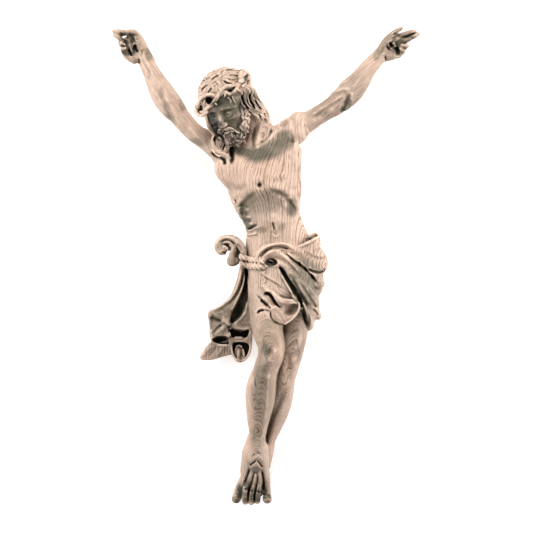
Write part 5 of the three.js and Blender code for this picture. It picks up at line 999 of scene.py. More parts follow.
def fine_hands(b):
    hand(b, (143, 56, 9), [(130.5, 37, 5), (127.5, 40, 4.6), (126.5, 45, 4.6), (127.5, 50.5, 4.8)],
         [[(125.4, 32.6, 10), (119.5, 31.2, 12), (113.2, 30.4, 11.5)],
          [(122.2, 38.8, 10.5), (118, 36.8, 13), (113.7, 34.7, 13)],
          [(121.5, 44.5, 9), (121, 43, 14.5), (124.4, 44.6, 17)],
          [(123.4, 50, 8.5), (122.6, 48.4, 13.4), (127.2, 47.4, 15.5)]],
         [(142, 47, 11), (138.6, 37.5, 11), (133.6, 31.4, 11.5), (127, 31, 13)],
         [((139.6, 44.2, 10), (4.8, 10.5, 6.2), (0.83, 0.55, 0), (0.55, -0.83, 0)),
          ((134, 57, 8.5), (4.5, 7.4, 6), (0.6, 0.8, 0), (-0.8, 0.6, 0))],
         [(128, 38), (141, 43), (143, 54), (136, 59), (127, 52), (125, 43)])
    hand(b, (381, 55.5, 9), [(399, 37, 5), (402, 41.5, 4.6), (402, 47, 4.6), (399, 51.5, 4.8)],
         [[(404.8, 33.8, 10), (410.5, 31.9, 12), (415.2, 31.1, 11.5)],
          [(407.6, 39.3, 10.5), (414, 36.2, 13), (419.3, 33.5, 13)],
          [(406.4, 46, 9), (406.4, 45.2, 14.5), (402.8, 44.8, 17)],
          [(403.2, 50.6, 8.5), (403.2, 49.6, 13), (400.2, 48.6, 15)]],
         [(382.4, 46.2, 11), (388.3, 37.7, 11), (395.2, 31.9, 11.5), (401.6, 27.8, 13)],
         [((386.6, 45, 10), (4.8, 10, 6.2), (0.83, -0.55, 0), (0.55, 0.83, 0)),
          ((391.6, 55, 8.5), (4.7, 9.2, 6), (0.3, -0.95, 0), (0.95, 0.3, 0))],
         [(389, 39), (400, 39), (403, 47), (400, 54), (388, 58), (383, 50)])
    # webs between the fingers
    roll(b, 1, (127, 42, 6, 3.4), (121, 41.4, 7, 3))
    roll(b, 1, (128, 39, 6, 2.4), (117.6, 34, 8, 1.6))
    roll(b, 1, (127, 35.4, 7, 2.4), (121, 34.2, 7.6, 2.2), (115, 33, 8.6, 1.6))
    roll(b, 1, (393, 36, 7, 3), (401, 38.4, 7, 3), (408, 36, 8, 2.8), (413, 34.2, 8.4, 2.4),
         (417.4, 32.8, 9, 1.8))
    # outer edges of the palms and wrists
    roll(b, 1.5, (122.9, 51.2, 8, 2), (125.4, 55.2, 8, 2.3), (129.6, 58.8, 8, 2.4), (134, 61.4, 8, 2.4))
    roll(b, 2, (136.6, 34.6, 10, 3.4), (141.6, 42.6, 10, 4.2), (146.4, 53, 10, 4.4), (151.4, 61, 10, 4.2))
    roll(b, 1.5, (403.2, 47.6, 9, 2.4), (402, 51.6, 8, 2.8), (398.6, 55, 8, 3))
    # hollows of the palms between the folded fingers
    for place, radii, side in (
        ((134.6, 47.2, 14), (2.1, 3.4, 7), (0.98, -0.2)),
        ((136.6, 50, 14.5), (1.5, 2.6, 6), (0.8, 0.6)),
        ((129.9, 52, 13), (1.7, 4.4, 8), (0.9, 0.42)),
        ((391, 44.4, 14), (1.6, 3.2, 6.5), (0.85, 0.52)),
        ((388.6, 47.8, 14), (1, 2.4, 6), (0.75, 0.66)),
        ((397.8, 50.6, 13), (2.5, 4.8, 8), (0.96, 0.28)),
        ((397.4, 41.8, 14.5), (2.6, 1.3, 6), (0.94, 0.34)),
        # slots between the outstretched fingers
        ((124.2, 36.3, 10), (2.6, 0.7, 12), (0.97, 0.24)),
    ):
        dug(b, place, radii, side)
    b.tube(at((128.2, 43, 13.5), (130, 47.2, 13.4), (132.2, 51.6, 12)), 0.9, 0.5)
    b.tube(at((389.4, 47.2, 13.4), (392.2, 49.2, 13.6), (394.8, 51.2, 12.6)), 0.9, 0.5)
    b.tube(at((394, 42.6, 12), (395.4, 46, 12)), 1, 0.6)
    creased(b, 10,
        # right hand
        (1, -4.4, (129.2, 44.2), (131.6, 40.4), (133.6, 36.8)),
        (0.8, -2.6, (133.6, 38.4), (134.4, 40.4), (134.8, 42.4)),
        (0.8, -1.4, (128.4, 34.8), (131, 34.6), (134.4, 34.2)),
        (0.7, -1.6, (135.4, 39), (138.4, 38.4)),
        (0.6, -0.8, (134.8, 41.8), (137.6, 41.2)),
        (0.8, -2.6, (120.4, 39.4), (123.6, 39.6), (125.8, 42), (126.4, 45)),
        (0.9, -1.4, (119, 34), (122.6, 34.6), (126.6, 35.4)),
        (0.7, -3, (119.4, 46.6), (122.2, 45.4), (125, 45.8)),
        (1.4, -2.2, (121.6, 51.8), (124.4, 52.6), (127.6, 57)),
        (1.2, -4.4, (127.4, 45), (128, 50), (127.4, 55)),
        (0.9, -3.4, (124, 40), (126.4, 42.4), (126.8, 46)),
        (0.9, -1.8, (138.4, 58), (139.4, 60.4), (139.2, 64)),
        (1, -1.3, (141.4, 49.6), (141.8, 53.4), (140.4, 57.6)),
        (1.8, -1.1, (142.6, 48.6), (145, 52), (147.6, 55)),
        (0.9, 0.7, (143.4, 56), (147.4, 61.4), (151, 68)),
        (0.9, 0.6, (147, 55), (151.4, 60.6), (155.4, 67)),
        (1, -0.8, (145, 57), (149, 62.6), (153, 69)),
        (1, -1.6, (119, 32.4), (122.6, 33.6), (126, 34.4)),
        (0.6, -0.5, (117, 29.4), (117.6, 33)),
        (0.6, -0.5, (117.6, 34.4), (116.4, 38)),
        (0.6, -0.5, (129.4, 29.4), (129.6, 34)),
        # left hand
        (0.8, -2.4, (393.4, 35.4), (394.6, 33.4), (396.8, 33.2)),
        (0.7, -1.8, (396.6, 36.6), (393.4, 40.6), (390.6, 42.4)),
        (0.8, -2.6, (399.6, 39.8), (404, 37.4), (409, 35.2), (416.8, 32)),
        (0.6, -1.6, (402.6, 42.8), (404.6, 43.4), (405, 41.4)),
        (0.7, -3, (401.6, 46.4), (404.4, 48), (407.4, 49.2)),
        (0.7, -1.8, (396, 52.6), (397.2, 56.4)),
        (0.8, -2, (399, 53), (400.2, 56.6)),
        (0.8, -1.8, (402, 52.4), (404, 54.8)),
        (0.9, -2.2, (385.2, 54.6), (385.4, 58), (386.8, 61.4)),
        (1.6, -1.2, (383.6, 46), (382.6, 50), (380.4, 53.6)),
        (0.8, 0.6, (376, 58), (380.6, 54.8), (385.4, 52.4)),
        (0.9, 0.6, (371, 61), (376, 56), (380, 51.4)),
        (0.9, -0.8, (373, 62.6), (378.4, 57.4), (382.4, 54)),
        (0.6, -0.6, (409.4, 31.4), (410.4, 34.4)),
        (0.6, -0.8, (412.4, 36.4), (413.6, 39)),
        (0.6, -0.6, (398.4, 29.6), (400.4, 32.4)),
    )


def toe(b, path, radii, tip, size):
    b.tube(at(*path), radii, 0.8)
    b.ball(one(*tip), (size, size * 0.9, size), 1.2)


def fine_feet(b):
    # lower foot, its sole flat against the cross
    left = Frame(one(266.5, 451, 9), (0.83, -0.56, 0), (-0.56, -0.83, 0), (0, 0, 1))
    b.loft([[-4, 0, 0, 6, 9], [8, -1, 1, 7.5, 11], [20, -1, 1, 8.5, 11], [34, 1, 0, 9, 10],
            [44, 2, -1, 8.5, 9], [50, 2, -2, 7.5, 8]], 3, frame=left, cap=4)
    roll(b, 1, (247, 480, 8, 6), (240.5, 489, 8, 5), (237, 495, 8, 4.5), (236.2, 499, 9, 4.9))
    # upper foot, lying over it
    b.loft([[-232, -23.5, 25, 13.8, 6], [-225, -24, 28, 14, 8.5], [-215, -24.5, 31, 14, 11],
            [-203, -24.8, 34, 13.5, 14], [-192, -24, 36, 11.4, 12.6], [-184, -23.4, 33, 9.4, 10.6],
            [-176, -23, 30, 6, 6]], 3, cap=4)
    b.ball(one(256, 452, 24), (9, 12, 10), 3)
    toe(b, [(249, 478, 28), (246, 488, 28.4), (244.9, 495.6, 26.4), (244.9, 500, 23.5)],
        [3.5, 3.3, 3.3, 3], (244.9, 502.4, 23.4), 2.9)
    toe(b, [(254, 480, 29), (252.4, 489, 29.6), (251.2, 496.6, 27.2), (251.1, 500.4, 24)],
        [3.5, 3.3, 3.3, 3], (251.2, 503, 24), 2.8)
    toe(b, [(260, 478, 30), (258.6, 488, 30), (257.6, 495, 27.6), (257.4, 499, 24.6)],
        [3.5, 3.3, 3.4, 3.1], (257.3, 501.6, 24.6), 2.9)
    toe(b, [(265, 474, 30), (266.2, 486, 28.5), (266.9, 493.6, 26.5), (267.2, 498, 25.5)],
        [5, 4.4, 4.2, 4.4], (267.3, 499.8, 25.5), 4.6)
    roll(b, 2, (246.4, 487, 21, 3.4), (254, 488, 21, 5), (264, 487, 21, 4))
    roll(b, 2, (247, 493.4, 18, 4), (254, 494.4, 18, 4.6), (259.6, 493, 18, 4))
    roll(b, 2, (246, 499.6, 17, 3.6), (251, 500.6, 17, 3.8), (256.6, 499.4, 17, 3.6))
    # outer edges of the heel and the ankle
    roll(b, 2, (270.6, 444, 16, 4.2), (269.6, 452, 16, 3.9), (268.2, 460, 16, 3.6), (267.2, 467, 16, 3.2))
    roll(b, 2, (243.6, 463, 22, 3), (243.2, 470, 20, 3.2), (243, 477, 18, 2.6))
    roll(b, 6, (256.6, 440, 33, 7.5), (256, 450, 31.5, 9.5), (254, 462, 27, 10))
    creased(b, 20,
        # folds about the pierced instep
        (0.8, -3.2, (249.4, 466), (253, 463), (256.7, 460)),
        (0.8, -3.2, (256.7, 460), (259.6, 463.4), (262.6, 468)),
        (1.8, 0.6, (253, 468), (256.4, 465), (259.6, 468.4)),
        (0.9, 0.8, (249, 463), (253, 458.6), (257.6, 456.8), (261.6, 459), (264, 464)),
        (0.7, -0.7, (250.6, 460.6), (254, 456.6), (258, 455.4)),
        (0.7, -1.3, (255.4, 453.8), (258, 453.2), (260.4, 454.4)),
        # tendons and the hollows between them
        (1, -4.4, (250.4, 466.8), (247.8, 475), (245, 483), (244.2, 487)),
        (1.1, -4.4, (261.4, 469), (262.8, 477), (263.6, 484), (262.8, 492)),
        (0.8, -2.8, (254, 471), (253.4, 476), (251.4, 484), (248.6, 493), (248.4, 503)),
        (0.8, -2.8, (257.6, 472), (257.4, 480), (256, 489), (254.4, 496), (254.5, 503)),
        (0.7, -1.8, (253.2, 471), (255.6, 473.4), (257.8, 471.6)),
        (0.9, 0.9, (251.6, 473), (249.6, 480), (247.2, 488)),
        (0.9, 0.9, (255.6, 474), (254.8, 481), (253, 489)),
        (1, 0.9, (259.4, 472), (260.2, 480), (259.6, 489)),
        (1.1, -1.4, (248.8, 487), (248.6, 491)),
        # joints and the ends of the toes
        (0.7, -0.9, (243.2, 499.4), (245, 498.8), (247.4, 499.6)),
        (0.7, -0.9, (249.4, 499.8), (251.2, 499), (253.4, 499.6)),
        (0.7, -0.9, (255.4, 498.4), (257.4, 497.6), (259.6, 498.2)),
        (1, -1.9, (250.6, 490), (253, 492.6)),
        (1, -1.9, (257, 491), (259.8, 493)),
        (1, -1.6, (244.6, 488.4), (246.8, 490.6)),
        (0.5, -0.8, (250.2, 496.6), (252.2, 496.8)),
        (0.5, -0.8, (256.6, 495), (259.2, 495.2)),
        (0.7, -1.2, (262.6, 496.6), (265, 495.2), (268, 495.4), (271, 497.6)),
        (0.45, -0.9, (264.2, 500.6), (264.9, 498), (267.2, 497), (269.6, 498), (270.2, 500.6)),
        (1, -1.2, (263, 487), (265.4, 491.4), (265, 495)),
        (1, -1, (242.6, 486), (240.6, 491), (240.4, 497)),
        # veins and the inner ankle
        (0.7, 0.5, (246, 456), (247.4, 464), (245.4, 474)),
        (0.8, 0.5, (264.6, 462), (265.8, 472), (267, 482)),
        (0.8, 0.4, (249, 470), (246, 479), (243.6, 486)),
    )
    creased(b, 4,
        (0.5, -0.9, (233.4, 500.4), (233.6, 498.2), (235.6, 497), (238, 498), (238.6, 500.4)),
        (0.6, -0.6, (232.6, 495.6), (235.6, 494.6), (239.4, 496)),
    )
    b.swell(one(244.4, 452, 36), (4, 6, 7), 1.4)
    b.swell(one(264, 450, 34), (3, 6, 6), 0.8)


def fine_torso(b):
    # hollow under the ribs, with the belly's own round below it
    b.swell(one(263, 202, 66), (15, 12, 12), -3.2)
    b.swell(one(251, 212, 64), (7, 10, 10), -1.6)
    b.swell(one(276, 222, 62), (11, 9, 12), 1.6)
    b.swell(one(259.6, 185.2, 66), (2.2, 2.6, 7), -4.6)
    b.ball(one(283.5, 122, 46), (5, 6, 9), 3, cut=True)
    creased(b, 26,
        # gaps beside and under the lower locks
        (2.2, -5, (230, 137), (232.4, 145), (231.8, 152), (232.2, 158), (230.6, 165)),
        (1, -4, (225.6, 139.6), (225.4, 146), (222.8, 151)),
        (1.3, -4, (217.4, 154), (221.4, 157.6), (224.8, 161), (225.4, 166)),
        (1, -2.6, (211.6, 151.6), (215.2, 155.6), (219.8, 158.6)),
        (0.9, -2.6, (215.8, 136), (214.6, 141), (216, 146)),
        # left half of the rib arch, with the ends of the ribs across its groove
        (3.4, 1.2, (256, 188), (250, 194), (243, 199.4), (239, 206), (240, 217), (244, 227)),
        (2.8, -1.9, (257, 189.6), (251.4, 196.4), (243.4, 203.6), (242.8, 213), (245.6, 221),
         (249.4, 227.6)),
        (1.5, 1.2, (236, 207.4), (243, 208.2), (250, 210.8)),
        (1.5, 1.2, (238, 215.4), (245, 216.2), (252, 218.4)),
        (1.5, 1.2, (241, 223.4), (248, 223.4), (254, 223.6)),
        # right half
        (3.2, 0.7, (264, 184.6), (275, 187.4), (286, 191.8), (293, 200), (299, 212)),
        (2.2, -1.5, (267, 189.4), (275, 192), (283, 195.6), (288, 199)),
        (3, -2, (284, 197), (290.6, 204.4), (294.2, 210), (295, 219)),
        (1.6, 0.7, (280, 200), (287, 198.6), (294, 197)),
        (2, -0.7, (272, 205), (280, 206), (285.6, 213), (286, 220), (289, 229), (290, 240)),
        # breast muscles
        (3.2, -0.7, (254.6, 162), (257, 170), (259, 179)),
        (3.2, -1, (226, 183), (235, 189), (241, 189.4), (248, 186)),
        (4, 0.8, (222, 172), (227, 180), (234, 184.6), (246, 182)),
        (2.8, -1, (272, 180.6), (280, 182), (288, 178)),
        (3.2, 0.8, (268, 175), (278, 176.6), (285, 173)),
        (1.8, -0.7, (286, 155), (291, 160), (292, 166), (289.4, 172), (288, 182)),
        (1.5, -0.4, (284, 161), (288.2, 164.6), (286.8, 170), (286, 177)),
        (1.5, -0.8, (290.6, 126), (292.4, 140), (291.4, 155)),
        (2.2, 0.8, (295, 130), (296.4, 150), (297.2, 175), (299, 200)),
        # ribs and side muscle
        (2, -0.8, (226, 186), (231, 192), (236, 194)),
        (1.6, -0.8, (229, 194), (234, 199), (240, 198.6)),
        (1.6, -0.8, (232, 203), (236.4, 207), (241, 206)),
        (1.4, -0.7, (236, 213), (240, 216), (243, 215)),
        (1.8, -0.6, (298, 186), (294, 190), (290, 189)),
        (1.8, -0.7, (300.6, 198), (297, 202), (294, 201.4)),
        (1.6, -0.7, (301, 209), (298.6, 212.6), (296.6, 212)),
        # wound in the side
        (0.8, -2, (234.6, 199), (236.4, 201.6), (236.2, 204.4)),
        (0.6, 0.7, (233.4, 201.4), (234.8, 204.2)),
        # creases of the bent waist
        (1.2, -2.2, (247.6, 230), (252.6, 227.2), (258.4, 224.2)),
        (1, -2.2, (246, 233.6), (252, 232.2), (257.4, 228.6)),
        (0.9, -2, (246.8, 236.6), (253, 236.2), (258.6, 235.6)),
        (0.9, 0.9, (248, 231.6), (252.6, 229.8), (257, 227.2)),
        (0.9, 0.7, (248.6, 235), (253.4, 234.2), (257, 232.6)),
        # navel
        (0.9, -2.4, (272.4, 221.6), (273.8, 227), (275.2, 233.4)),
        (1.2, -2.4, (274.2, 229.8), (275.4, 234)),
        (1, 1, (272.6, 233), (274.4, 236.2), (277, 236.6), (279.4, 233.4)),
        (3.4, -0.9, (256, 231), (262, 231.4), (267, 229.6)),
        (2.6, -0.7, (279, 226), (284, 226.4), (286, 222)),
        # collar bones and the strap of the neck
        (3, 1.8, (263.4, 112), (260, 131), (254.4, 150)),
        (2, -2, (256, 124), (253.6, 138), (253.8, 149)),
        (2.6, -1.6, (266, 126), (265, 133), (261, 140)),
        (2.6, 1.6, (252, 150), (264, 143.6), (272, 135.4), (283, 126)),
        (1.3, -1.8, (258, 144.6), (265.6, 139.8), (269.8, 134.4), (272, 128)),
        (2.6, 0.8, (256, 150), (247, 148), (237, 147)),
    )


def fine_arms(b):
    creased(b, 3,
        # raised arm with the straps of the shoulder
        (3.4, 1.1, (293, 108), (300, 123), (301.6, 142)),
        (2.2, -1, (287, 110), (294.6, 126), (296.6, 144)),
        (2.2, -0.9, (306, 108), (307.6, 121), (303.6, 138)),
        (1.2, -1.2, (308, 119.4), (318, 114.4), (328, 107.2), (337, 102), (344, 97.4)),
        (2.6, 0.8, (308, 116), (320, 109), (333, 100), (344, 95)),
        (3, 0.7, (312, 124), (324, 116), (336, 107.4)),
        (2.4, 1, (326, 96), (336, 90.4), (343, 88.2), (352, 89.6)),
        (2, -1, (332, 91), (341, 86), (348, 83.8), (355, 78.4)),
        (1.5, -0.9, (334, 95.4), (342, 92.4), (347, 92.8)),
        (2, -2, (348.4, 92.6), (348, 99), (344.6, 105), (341.4, 114)),
        (2.4, 0.9, (351.4, 91), (352.4, 96), (351.2, 101)),
        (1.8, -0.9, (348.6, 108), (354.6, 100.4), (362, 89)),
        (2, 1, (352, 89), (358, 80.6), (367, 70), (375, 60)),
        (2, -1, (358, 85), (368, 71.6), (379, 57)),
        (1.5, -0.7, (356, 76), (365, 65), (372, 56)),
        (0.8, -1.2, (371, 54.4), (375.6, 49)),
        (0.9, 0.9, (369, 59), (373, 54), (377.4, 48)),
        # the other arm
        (0.8, -1.4, (141.6, 57), (145.6, 65.4), (151.4, 75)),
        (1.2, 0.7, (139.8, 60), (144, 69), (149, 78)),
        (1.2, 0.8, (144.4, 57.4), (149, 66), (154, 74.6)),
        (1.4, -0.6, (150.4, 56), (156, 66), (163, 78)),
        (2.8, -1.5, (155, 78), (160, 92), (164, 101), (169, 112), (177, 128)),
        (2, -0.9, (159.6, 87), (163, 97), (168, 110)),
        (3.4, 0.9, (152, 84), (154, 97), (162, 110), (170, 120)),
        (3.4, 1.3, (163, 95), (171, 106), (177, 116), (187, 130)),
        (2.4, -0.8, (171, 93), (179, 105), (187, 115)),
        (2.6, 0.7, (166, 82), (172, 92), (180, 101)),
        (2.4, -1.2, (183, 128), (193.4, 138), (200, 143.4), (211, 151)),
        (2.6, 0.8, (188, 127), (197, 134.6), (206, 143)),
        (2, -0.6, (203, 125), (200.6, 133), (203.6, 142)),
        (1.8, -0.9, (207, 138), (211, 150), (218, 164)),
    )


def fine_legs(b):
    b.swell(one(269.6, 353, 77), (3, 4, 9), -1.8)
    b.swell(one(275, 350, 77), (3, 3.6, 9), 1)
    b.swell(one(293.6, 361.4, 63), (4, 5, 8), 1.4)
    creased(b, 16,
        # front knee
        (3, 0.7, (262, 345), (264.4, 335), (271.6, 330.6), (278.6, 335), (281, 346)),
        (2.4, -1.2, (259.6, 340), (258.4, 352), (262, 366)),
        (3.2, -1.3, (270.4, 348), (268.8, 363), (265.6, 378)),
        (2.4, 0.9, (281.6, 336), (280.8, 357), (274, 376)),
        # shin: its sharp edge, and the hollow beside it
        (2.4, 1.7, (271.4, 368), (268.6, 380), (267.4, 400), (265.6, 420), (263, 440), (260, 458)),
        (4, -1.2, (263.6, 366), (261.4, 392), (259.4, 414), (256, 446)),
        (3.4, 0.9, (253, 368), (250.4, 384), (251, 404), (253, 424)),
        (1.6, -0.7, (257.6, 372), (255.6, 392), (255.4, 412)),
        (3.2, 0.8, (257, 306), (257.6, 322), (260, 338)),
        # rear leg
        (3, -1.5, (287.6, 350), (288.4, 366), (289, 386)),
        (1.6, -0.7, (297.6, 346), (298.6, 358), (296, 370)),
        (2.8, -2.6, (285, 386), (279.6, 403), (273, 418), (267, 436), (263, 450)),
        (3.2, 0.9, (291, 366), (289.4, 390), (284, 404), (277, 422), (270, 446)),
        (3, 0.6, (300, 322), (299, 340), (296.6, 352)),
    )


def worn(b):
    """Rounds all edges a little, as sanding does."""
    for axis in range(3):
        f = np.moveaxis(b.field, axis, 0)
        f[1:-1] = 0.25 * f[:-2] + 0.5 * f[1:-1] + 0.25 * f[2:]


def border(block):
    """Closes the wood where it runs out of its block."""
    f = block.field
    for axis in range(3):
        for end in (0, -1):
            part = [slice(None)] * 3
            part[axis] = end
            f[tuple(part)] = np.maximum(f[tuple(part)], block.step)


def skin(block):
    """Quads of the wood's surface: one vertex in each cell that it passes through."""
    f = block.field
    nx, ny, nz = f.shape
    inside = f < 0
    cells = np.zeros((nx - 1, ny - 1, nz - 1), np.uint8)
    for i, j, k in CORNERS:
        cells += inside[i : nx - 1 + i, j : ny - 1 + j, k : nz - 1 + k]
    active = (cells > 0) & (cells < 8)
    del cells
    ci, cj, ck = np.nonzero(active)
    values = [f[ci + i, cj + j, ck + k] for i, j, k in CORNERS]
    total = np.zeros((len(ci), 3))
    hits = np.zeros(len(ci))
    for a, b in EDGES:
        cross = (values[a] < 0) != (values[b] < 0)
        va, vb = values[a][cross], values[b][cross]
        t = (va / (va - vb))[:, None]
        total[cross] += CORNERS[a] + t * (CORNERS[b] - CORNERS[a])
        hits[cross] += 1
    places = np.column_stack([ci, cj, ck]) + total / hits[:, None]
    places = block.low + block.step * places
    number = np.full(active.shape, -1, np.int32)
    number[active] = np.arange(len(ci), dtype=np.int32)
    quads = []
    for axis in range(3):
        u, v = (axis + 1) % 3, (axis + 2) % 3
        near = [slice(None)] * 3
        far = [slice(None)] * 3
        near[axis], far[axis] = slice(0, -1), slice(1, None)
        for side in (u, v):
            near[side] = far[side] = slice(1, -1)
        a, b = inside[tuple(near)], inside[tuple(far)]
        for out, order in ((a & ~b, 1), (~a & b, -1)):
            at_ = np.array(np.nonzero(out))
            at_[u] += 1
            at_[v] += 1
            ring = []
            for du, dv in ((0, 0), (-1, 0), (-1, -1), (0, -1)):
                c = at_.copy()
                c[u] += du
                c[v] += dv
                ring.append(number[c[0], c[1], c[2]])
            quads.append(np.column_stack(ring)[:, ::order])
    return places, np.vstack(quads)


CORNERS = np.array([(i, j, k) for i in (0, 1) for j in (0, 1) for k in (0, 1)])
EDGES = [(a, b) for a in range(8) for b in range(a + 1, 8) if np.abs(CORNERS[a] - CORNERS[b]).sum() == 1]


def blurred(solid, reach):
    """Share of wood within a cube around each point."""
    out = solid
    for axis in range(3):
        pad = [(0, 0)] * 3
        pad[axis] = (reach + 1, reach)
        total = np.cumsum(np.pad(out, pad, mode="edge"), axis=axis, dtype=np.float32)
        n = out.shape[axis]
        high = np.take(total, range(2 * reach + 1, 2 * reach + 1 + n), axis=axis)
        low = np.take(total, range(n), axis=axis)
        out = (high - low) / (2 * reach + 1)
    return out


def sampled(grid, low, step, places):
    """Values of a grid between its points."""
    g = np.clip((places - low) / step, 0, np.array(grid.shape) - 1.001)
    i = g.astype(int)
    t = g - i
    out = 0
    for c in CORNERS:
        w = np.prod(np.where(c, t, 1 - t), axis=1)
        out = out + w * grid[i[:, 0] + c[0], i[:, 1] + c[1], i[:, 2] + c[2]]
    return out


def hollows(block, places, normals, step, reach, smooth, lift, rows=slice(None)):
    """Share of wood around places, measured a little above them on a coarser grid."""
    every = max(int(round(step / block.step)), 1)
    solid = (block.field[::every, rows][:, ::every, ::every] < 0).astype(np.float32)
    share = blurred(blurred(solid, reach), smooth)
    low = block.low + (0, (rows.start or 0) * block.step, 0)
    return sampled(share, low, every * block.step, places + lift * normals)


def hollowness(block, places, normals, small):
    """From 0 on ridges through a third on flat wood to 1 deep in hollows, close by and further around."""
    near = hollows(block, places, normals, small, 1, 1, 0.5 * small)
    wide = hollows(block, places, normals, SHADE_STEP, 3, 2, 3.0)
    for low, high in DETAILED:
        rows = slice(*(int((y - block.low[1]) / block.step) for y in (low, high)))
        if block.step < small and rows.start >= 0 and rows.stop < block.count[1]:
            here = (places[:, 1] > low + 3) & (places[:, 1] < high - 3)
            near[here] = hollows(block, places[here], normals[here], block.step, 1, 1, 0.5 * block.step,
                                 rows)
    return near, wide


def painted_shading(places, normals, spots):
    """How much shade is painted, from 0 to 1, in some spots on the front of the figure."""
    x, y = places[:, 0] + SHEET_X, SHEET_Y - places[:, 1]
    clean = np.ones(len(places))
    for px, py, wide, high, strength in spots:
        r = np.hypot((x - px) / wide, (y - py) / high)
        clean *= 1 - strength * eased(np.clip((1.25 - r) / 0.75, 0, 1))
    front = np.clip(0.6 + 1.2 * normals[:, 2], 0, 1)
    return (1 - clean) * front


def grain_places(places):
    """Each place in the wood that it was carved from, with the grain along y, in the arms too."""
    out = places.copy()
    # the legs come from nearer the heart of the trunk, with narrower rings
    leg = eased(np.clip((LEGS_TOP - places[:, 1]) / LEGS_FADE, 0, 1))
    out[:, 0] -= LEG_SHIFT * leg
    drop = KNEE - places[:, 1]
    drop = (drop + np.hypot(drop, KNEE_FADE)) / 2
    out[:, 2] += leg * (LEG_STRETCH * (places[:, 2] - LEG_LEVEL) + SHIN_TILT * drop)
    for start, end, shoulder, fineness in ARM_GRAIN:
        start, end = one(*start), one(*end)
        along = unit(end - start)
        side = unit(np.cross(along, (0, 0, 1)))
        up = np.cross(side, along)
        arm = (places - one(*shoulder)) @ along > 0
        local = places[arm] - start
        out[arm] = np.column_stack([fineness * (local @ side), local @ along, local @ up]) + ARM_WOOD
    return out


def linked(name, data):
    """An object of some data, in the scene."""
    thing = bpy.data.objects.new(name, data)
    bpy.context.scene.collection.objects.link(thing)
    return thing


def thinned(thing, ratio):
    """The object's mesh with fewer faces."""
    modifier = thing.modifiers.new("fewer", "DECIMATE")
    modifier.ratio = ratio
    modifier.use_collapse_triangulate = True
    graph = bpy.context.evaluated_depsgraph_get()
    fine, mesh = thing.data, bpy.data.meshes.new_from_object(thing.evaluated_get(graph))
    thing.modifiers.clear()
    thing.data = mesh
    bpy.data.meshes.remove(fine)
    mesh.name = thing.name
    mesh.validate()
    return mesh


def read(items, key):
    """Three numbers of each vertex, as rows."""
    rows = np.empty(3 * len(items), np.float32)
    items.foreach_get(key, rows)
    return rows.reshape(-1, 3)


def piece(name, block, small):
    """A finished mesh object of a block, in metres, with its grain, hollows and painted shade as attributes.
    """
    border(block)
    places, quads = skin(block)
    places[:, 2] = np.maximum(places[:, 2], 0)
    mesh = bpy.data.meshes.new(name)
    mesh.vertices.add(len(places))
    mesh.vertices.foreach_set("co", (places * MM).astype(np.float32).ravel())
    mesh.loops.add(quads.size)
    mesh.loops.foreach_set("vertex_index", quads.astype(np.int32).ravel())
    mesh.polygons.add(len(quads))
    mesh.polygons.foreach_set("loop_start", np.arange(0, quads.size, 4, dtype=np.int32))
    mesh.update(calc_edges=True)
    thing = linked(name, mesh)
    if 2 * len(quads) > MOST_FACES:
        mesh = thinned(thing, MOST_FACES / (2 * len(quads)))
    mesh.shade_smooth()
    co = read(mesh.vertices, "co") / MM
    no = read(mesh.vertex_normals, "vector")
    shades = (*hollowness(block, co, no, small), painted_shading(co, no, PAINTED_SHADE), painted_shading(co, no, PAINTED_SHADOWS))
    for label, values in zip(SHADES, shades):
        mesh.attributes.new(label, "FLOAT", "POINT").data.foreach_set("value", values.astype(np.float32))
    grain = mesh.attributes.new("grain", "FLOAT_VECTOR", "POINT")
    grain.data.foreach_set("vector", grain_places(co).astype(np.float32).ravel())
    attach(thing, "root")
    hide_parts("corpus")
    return thing


class Nodes:
    """A short way to write a node tree: values, sockets and colours go in by position or name."""

    def __init__(self, tree):
        self.tree = tree

    def plug(self, socket, value):
        """Links an input to a socket, or sets its value."""
        if isinstance(value, bpy.types.NodeSocket):
            self.tree.links.new(value, socket)
        else:
            socket.default_value = value

    def add(self, kind, *values, out=0, **settings):
        node = self.tree.nodes.new(kind)
        named = {}
        for key, value in settings.items():
            if hasattr(node, key):
                setattr(node, key, value)
            else:
                named[key] = value
        for key, value in (*enumerate(values), *named.items()):
            self.plug(node.inputs[key], value)
        return node.outputs[out]

    def math(self, operation, *values):
        return self.add("ShaderNodeMath", *values, operation=operation)

    def vector(self, operation, *values, out=0):
        return self.add("ShaderNodeVectorMath", *values, operation=operation, out=out)

    def remap(self, value, low, high, to_low=0, to_high=1, kind="LINEAR"):
        return self.add("ShaderNodeMapRange", value, low, high, to_low, to_high, interpolation_type=kind)

    def eased(self, value, low, high):
        return self.remap(value, low, high, kind="SMOOTHSTEP")

    def noise(self, places, scale, detail, roughness, out=0):
        """Noise at one scale, or with a scale for each axis."""
        if isinstance(scale, tuple):
            places, scale = self.vector("MULTIPLY", places, scale), 1
        return self.add("ShaderNodeTexNoise", places, noise_dimensions="3D", Scale=scale,
                        Detail=detail, Roughness=roughness, out=out)

    def blend(self, share, a, b, kind="MIX"):
        """Mixes two colours; three numbers stand for an sRGB colour."""
        node = self.tree.nodes.new("ShaderNodeMix")
        node.data_type, node.blend_type = "RGBA", kind
        for key, value in ((0, share), (6, a), (7, b)):
            self.plug(node.inputs[key], rgb(*value) if isinstance(value, tuple) else value)
        return node.outputs[2]


def rgb(*values):
    """Linear colour from sRGB values."""
    return (*(((c + 0.055) / 1.055) ** 2.4 for c in values), 1)


def material(name):
    """A new material with its node tree and its shader."""
    made = bpy.data.materials.new(name)
    made.use_nodes = True
    return made, made.node_tree, made.node_tree.nodes["Principled BSDF"]


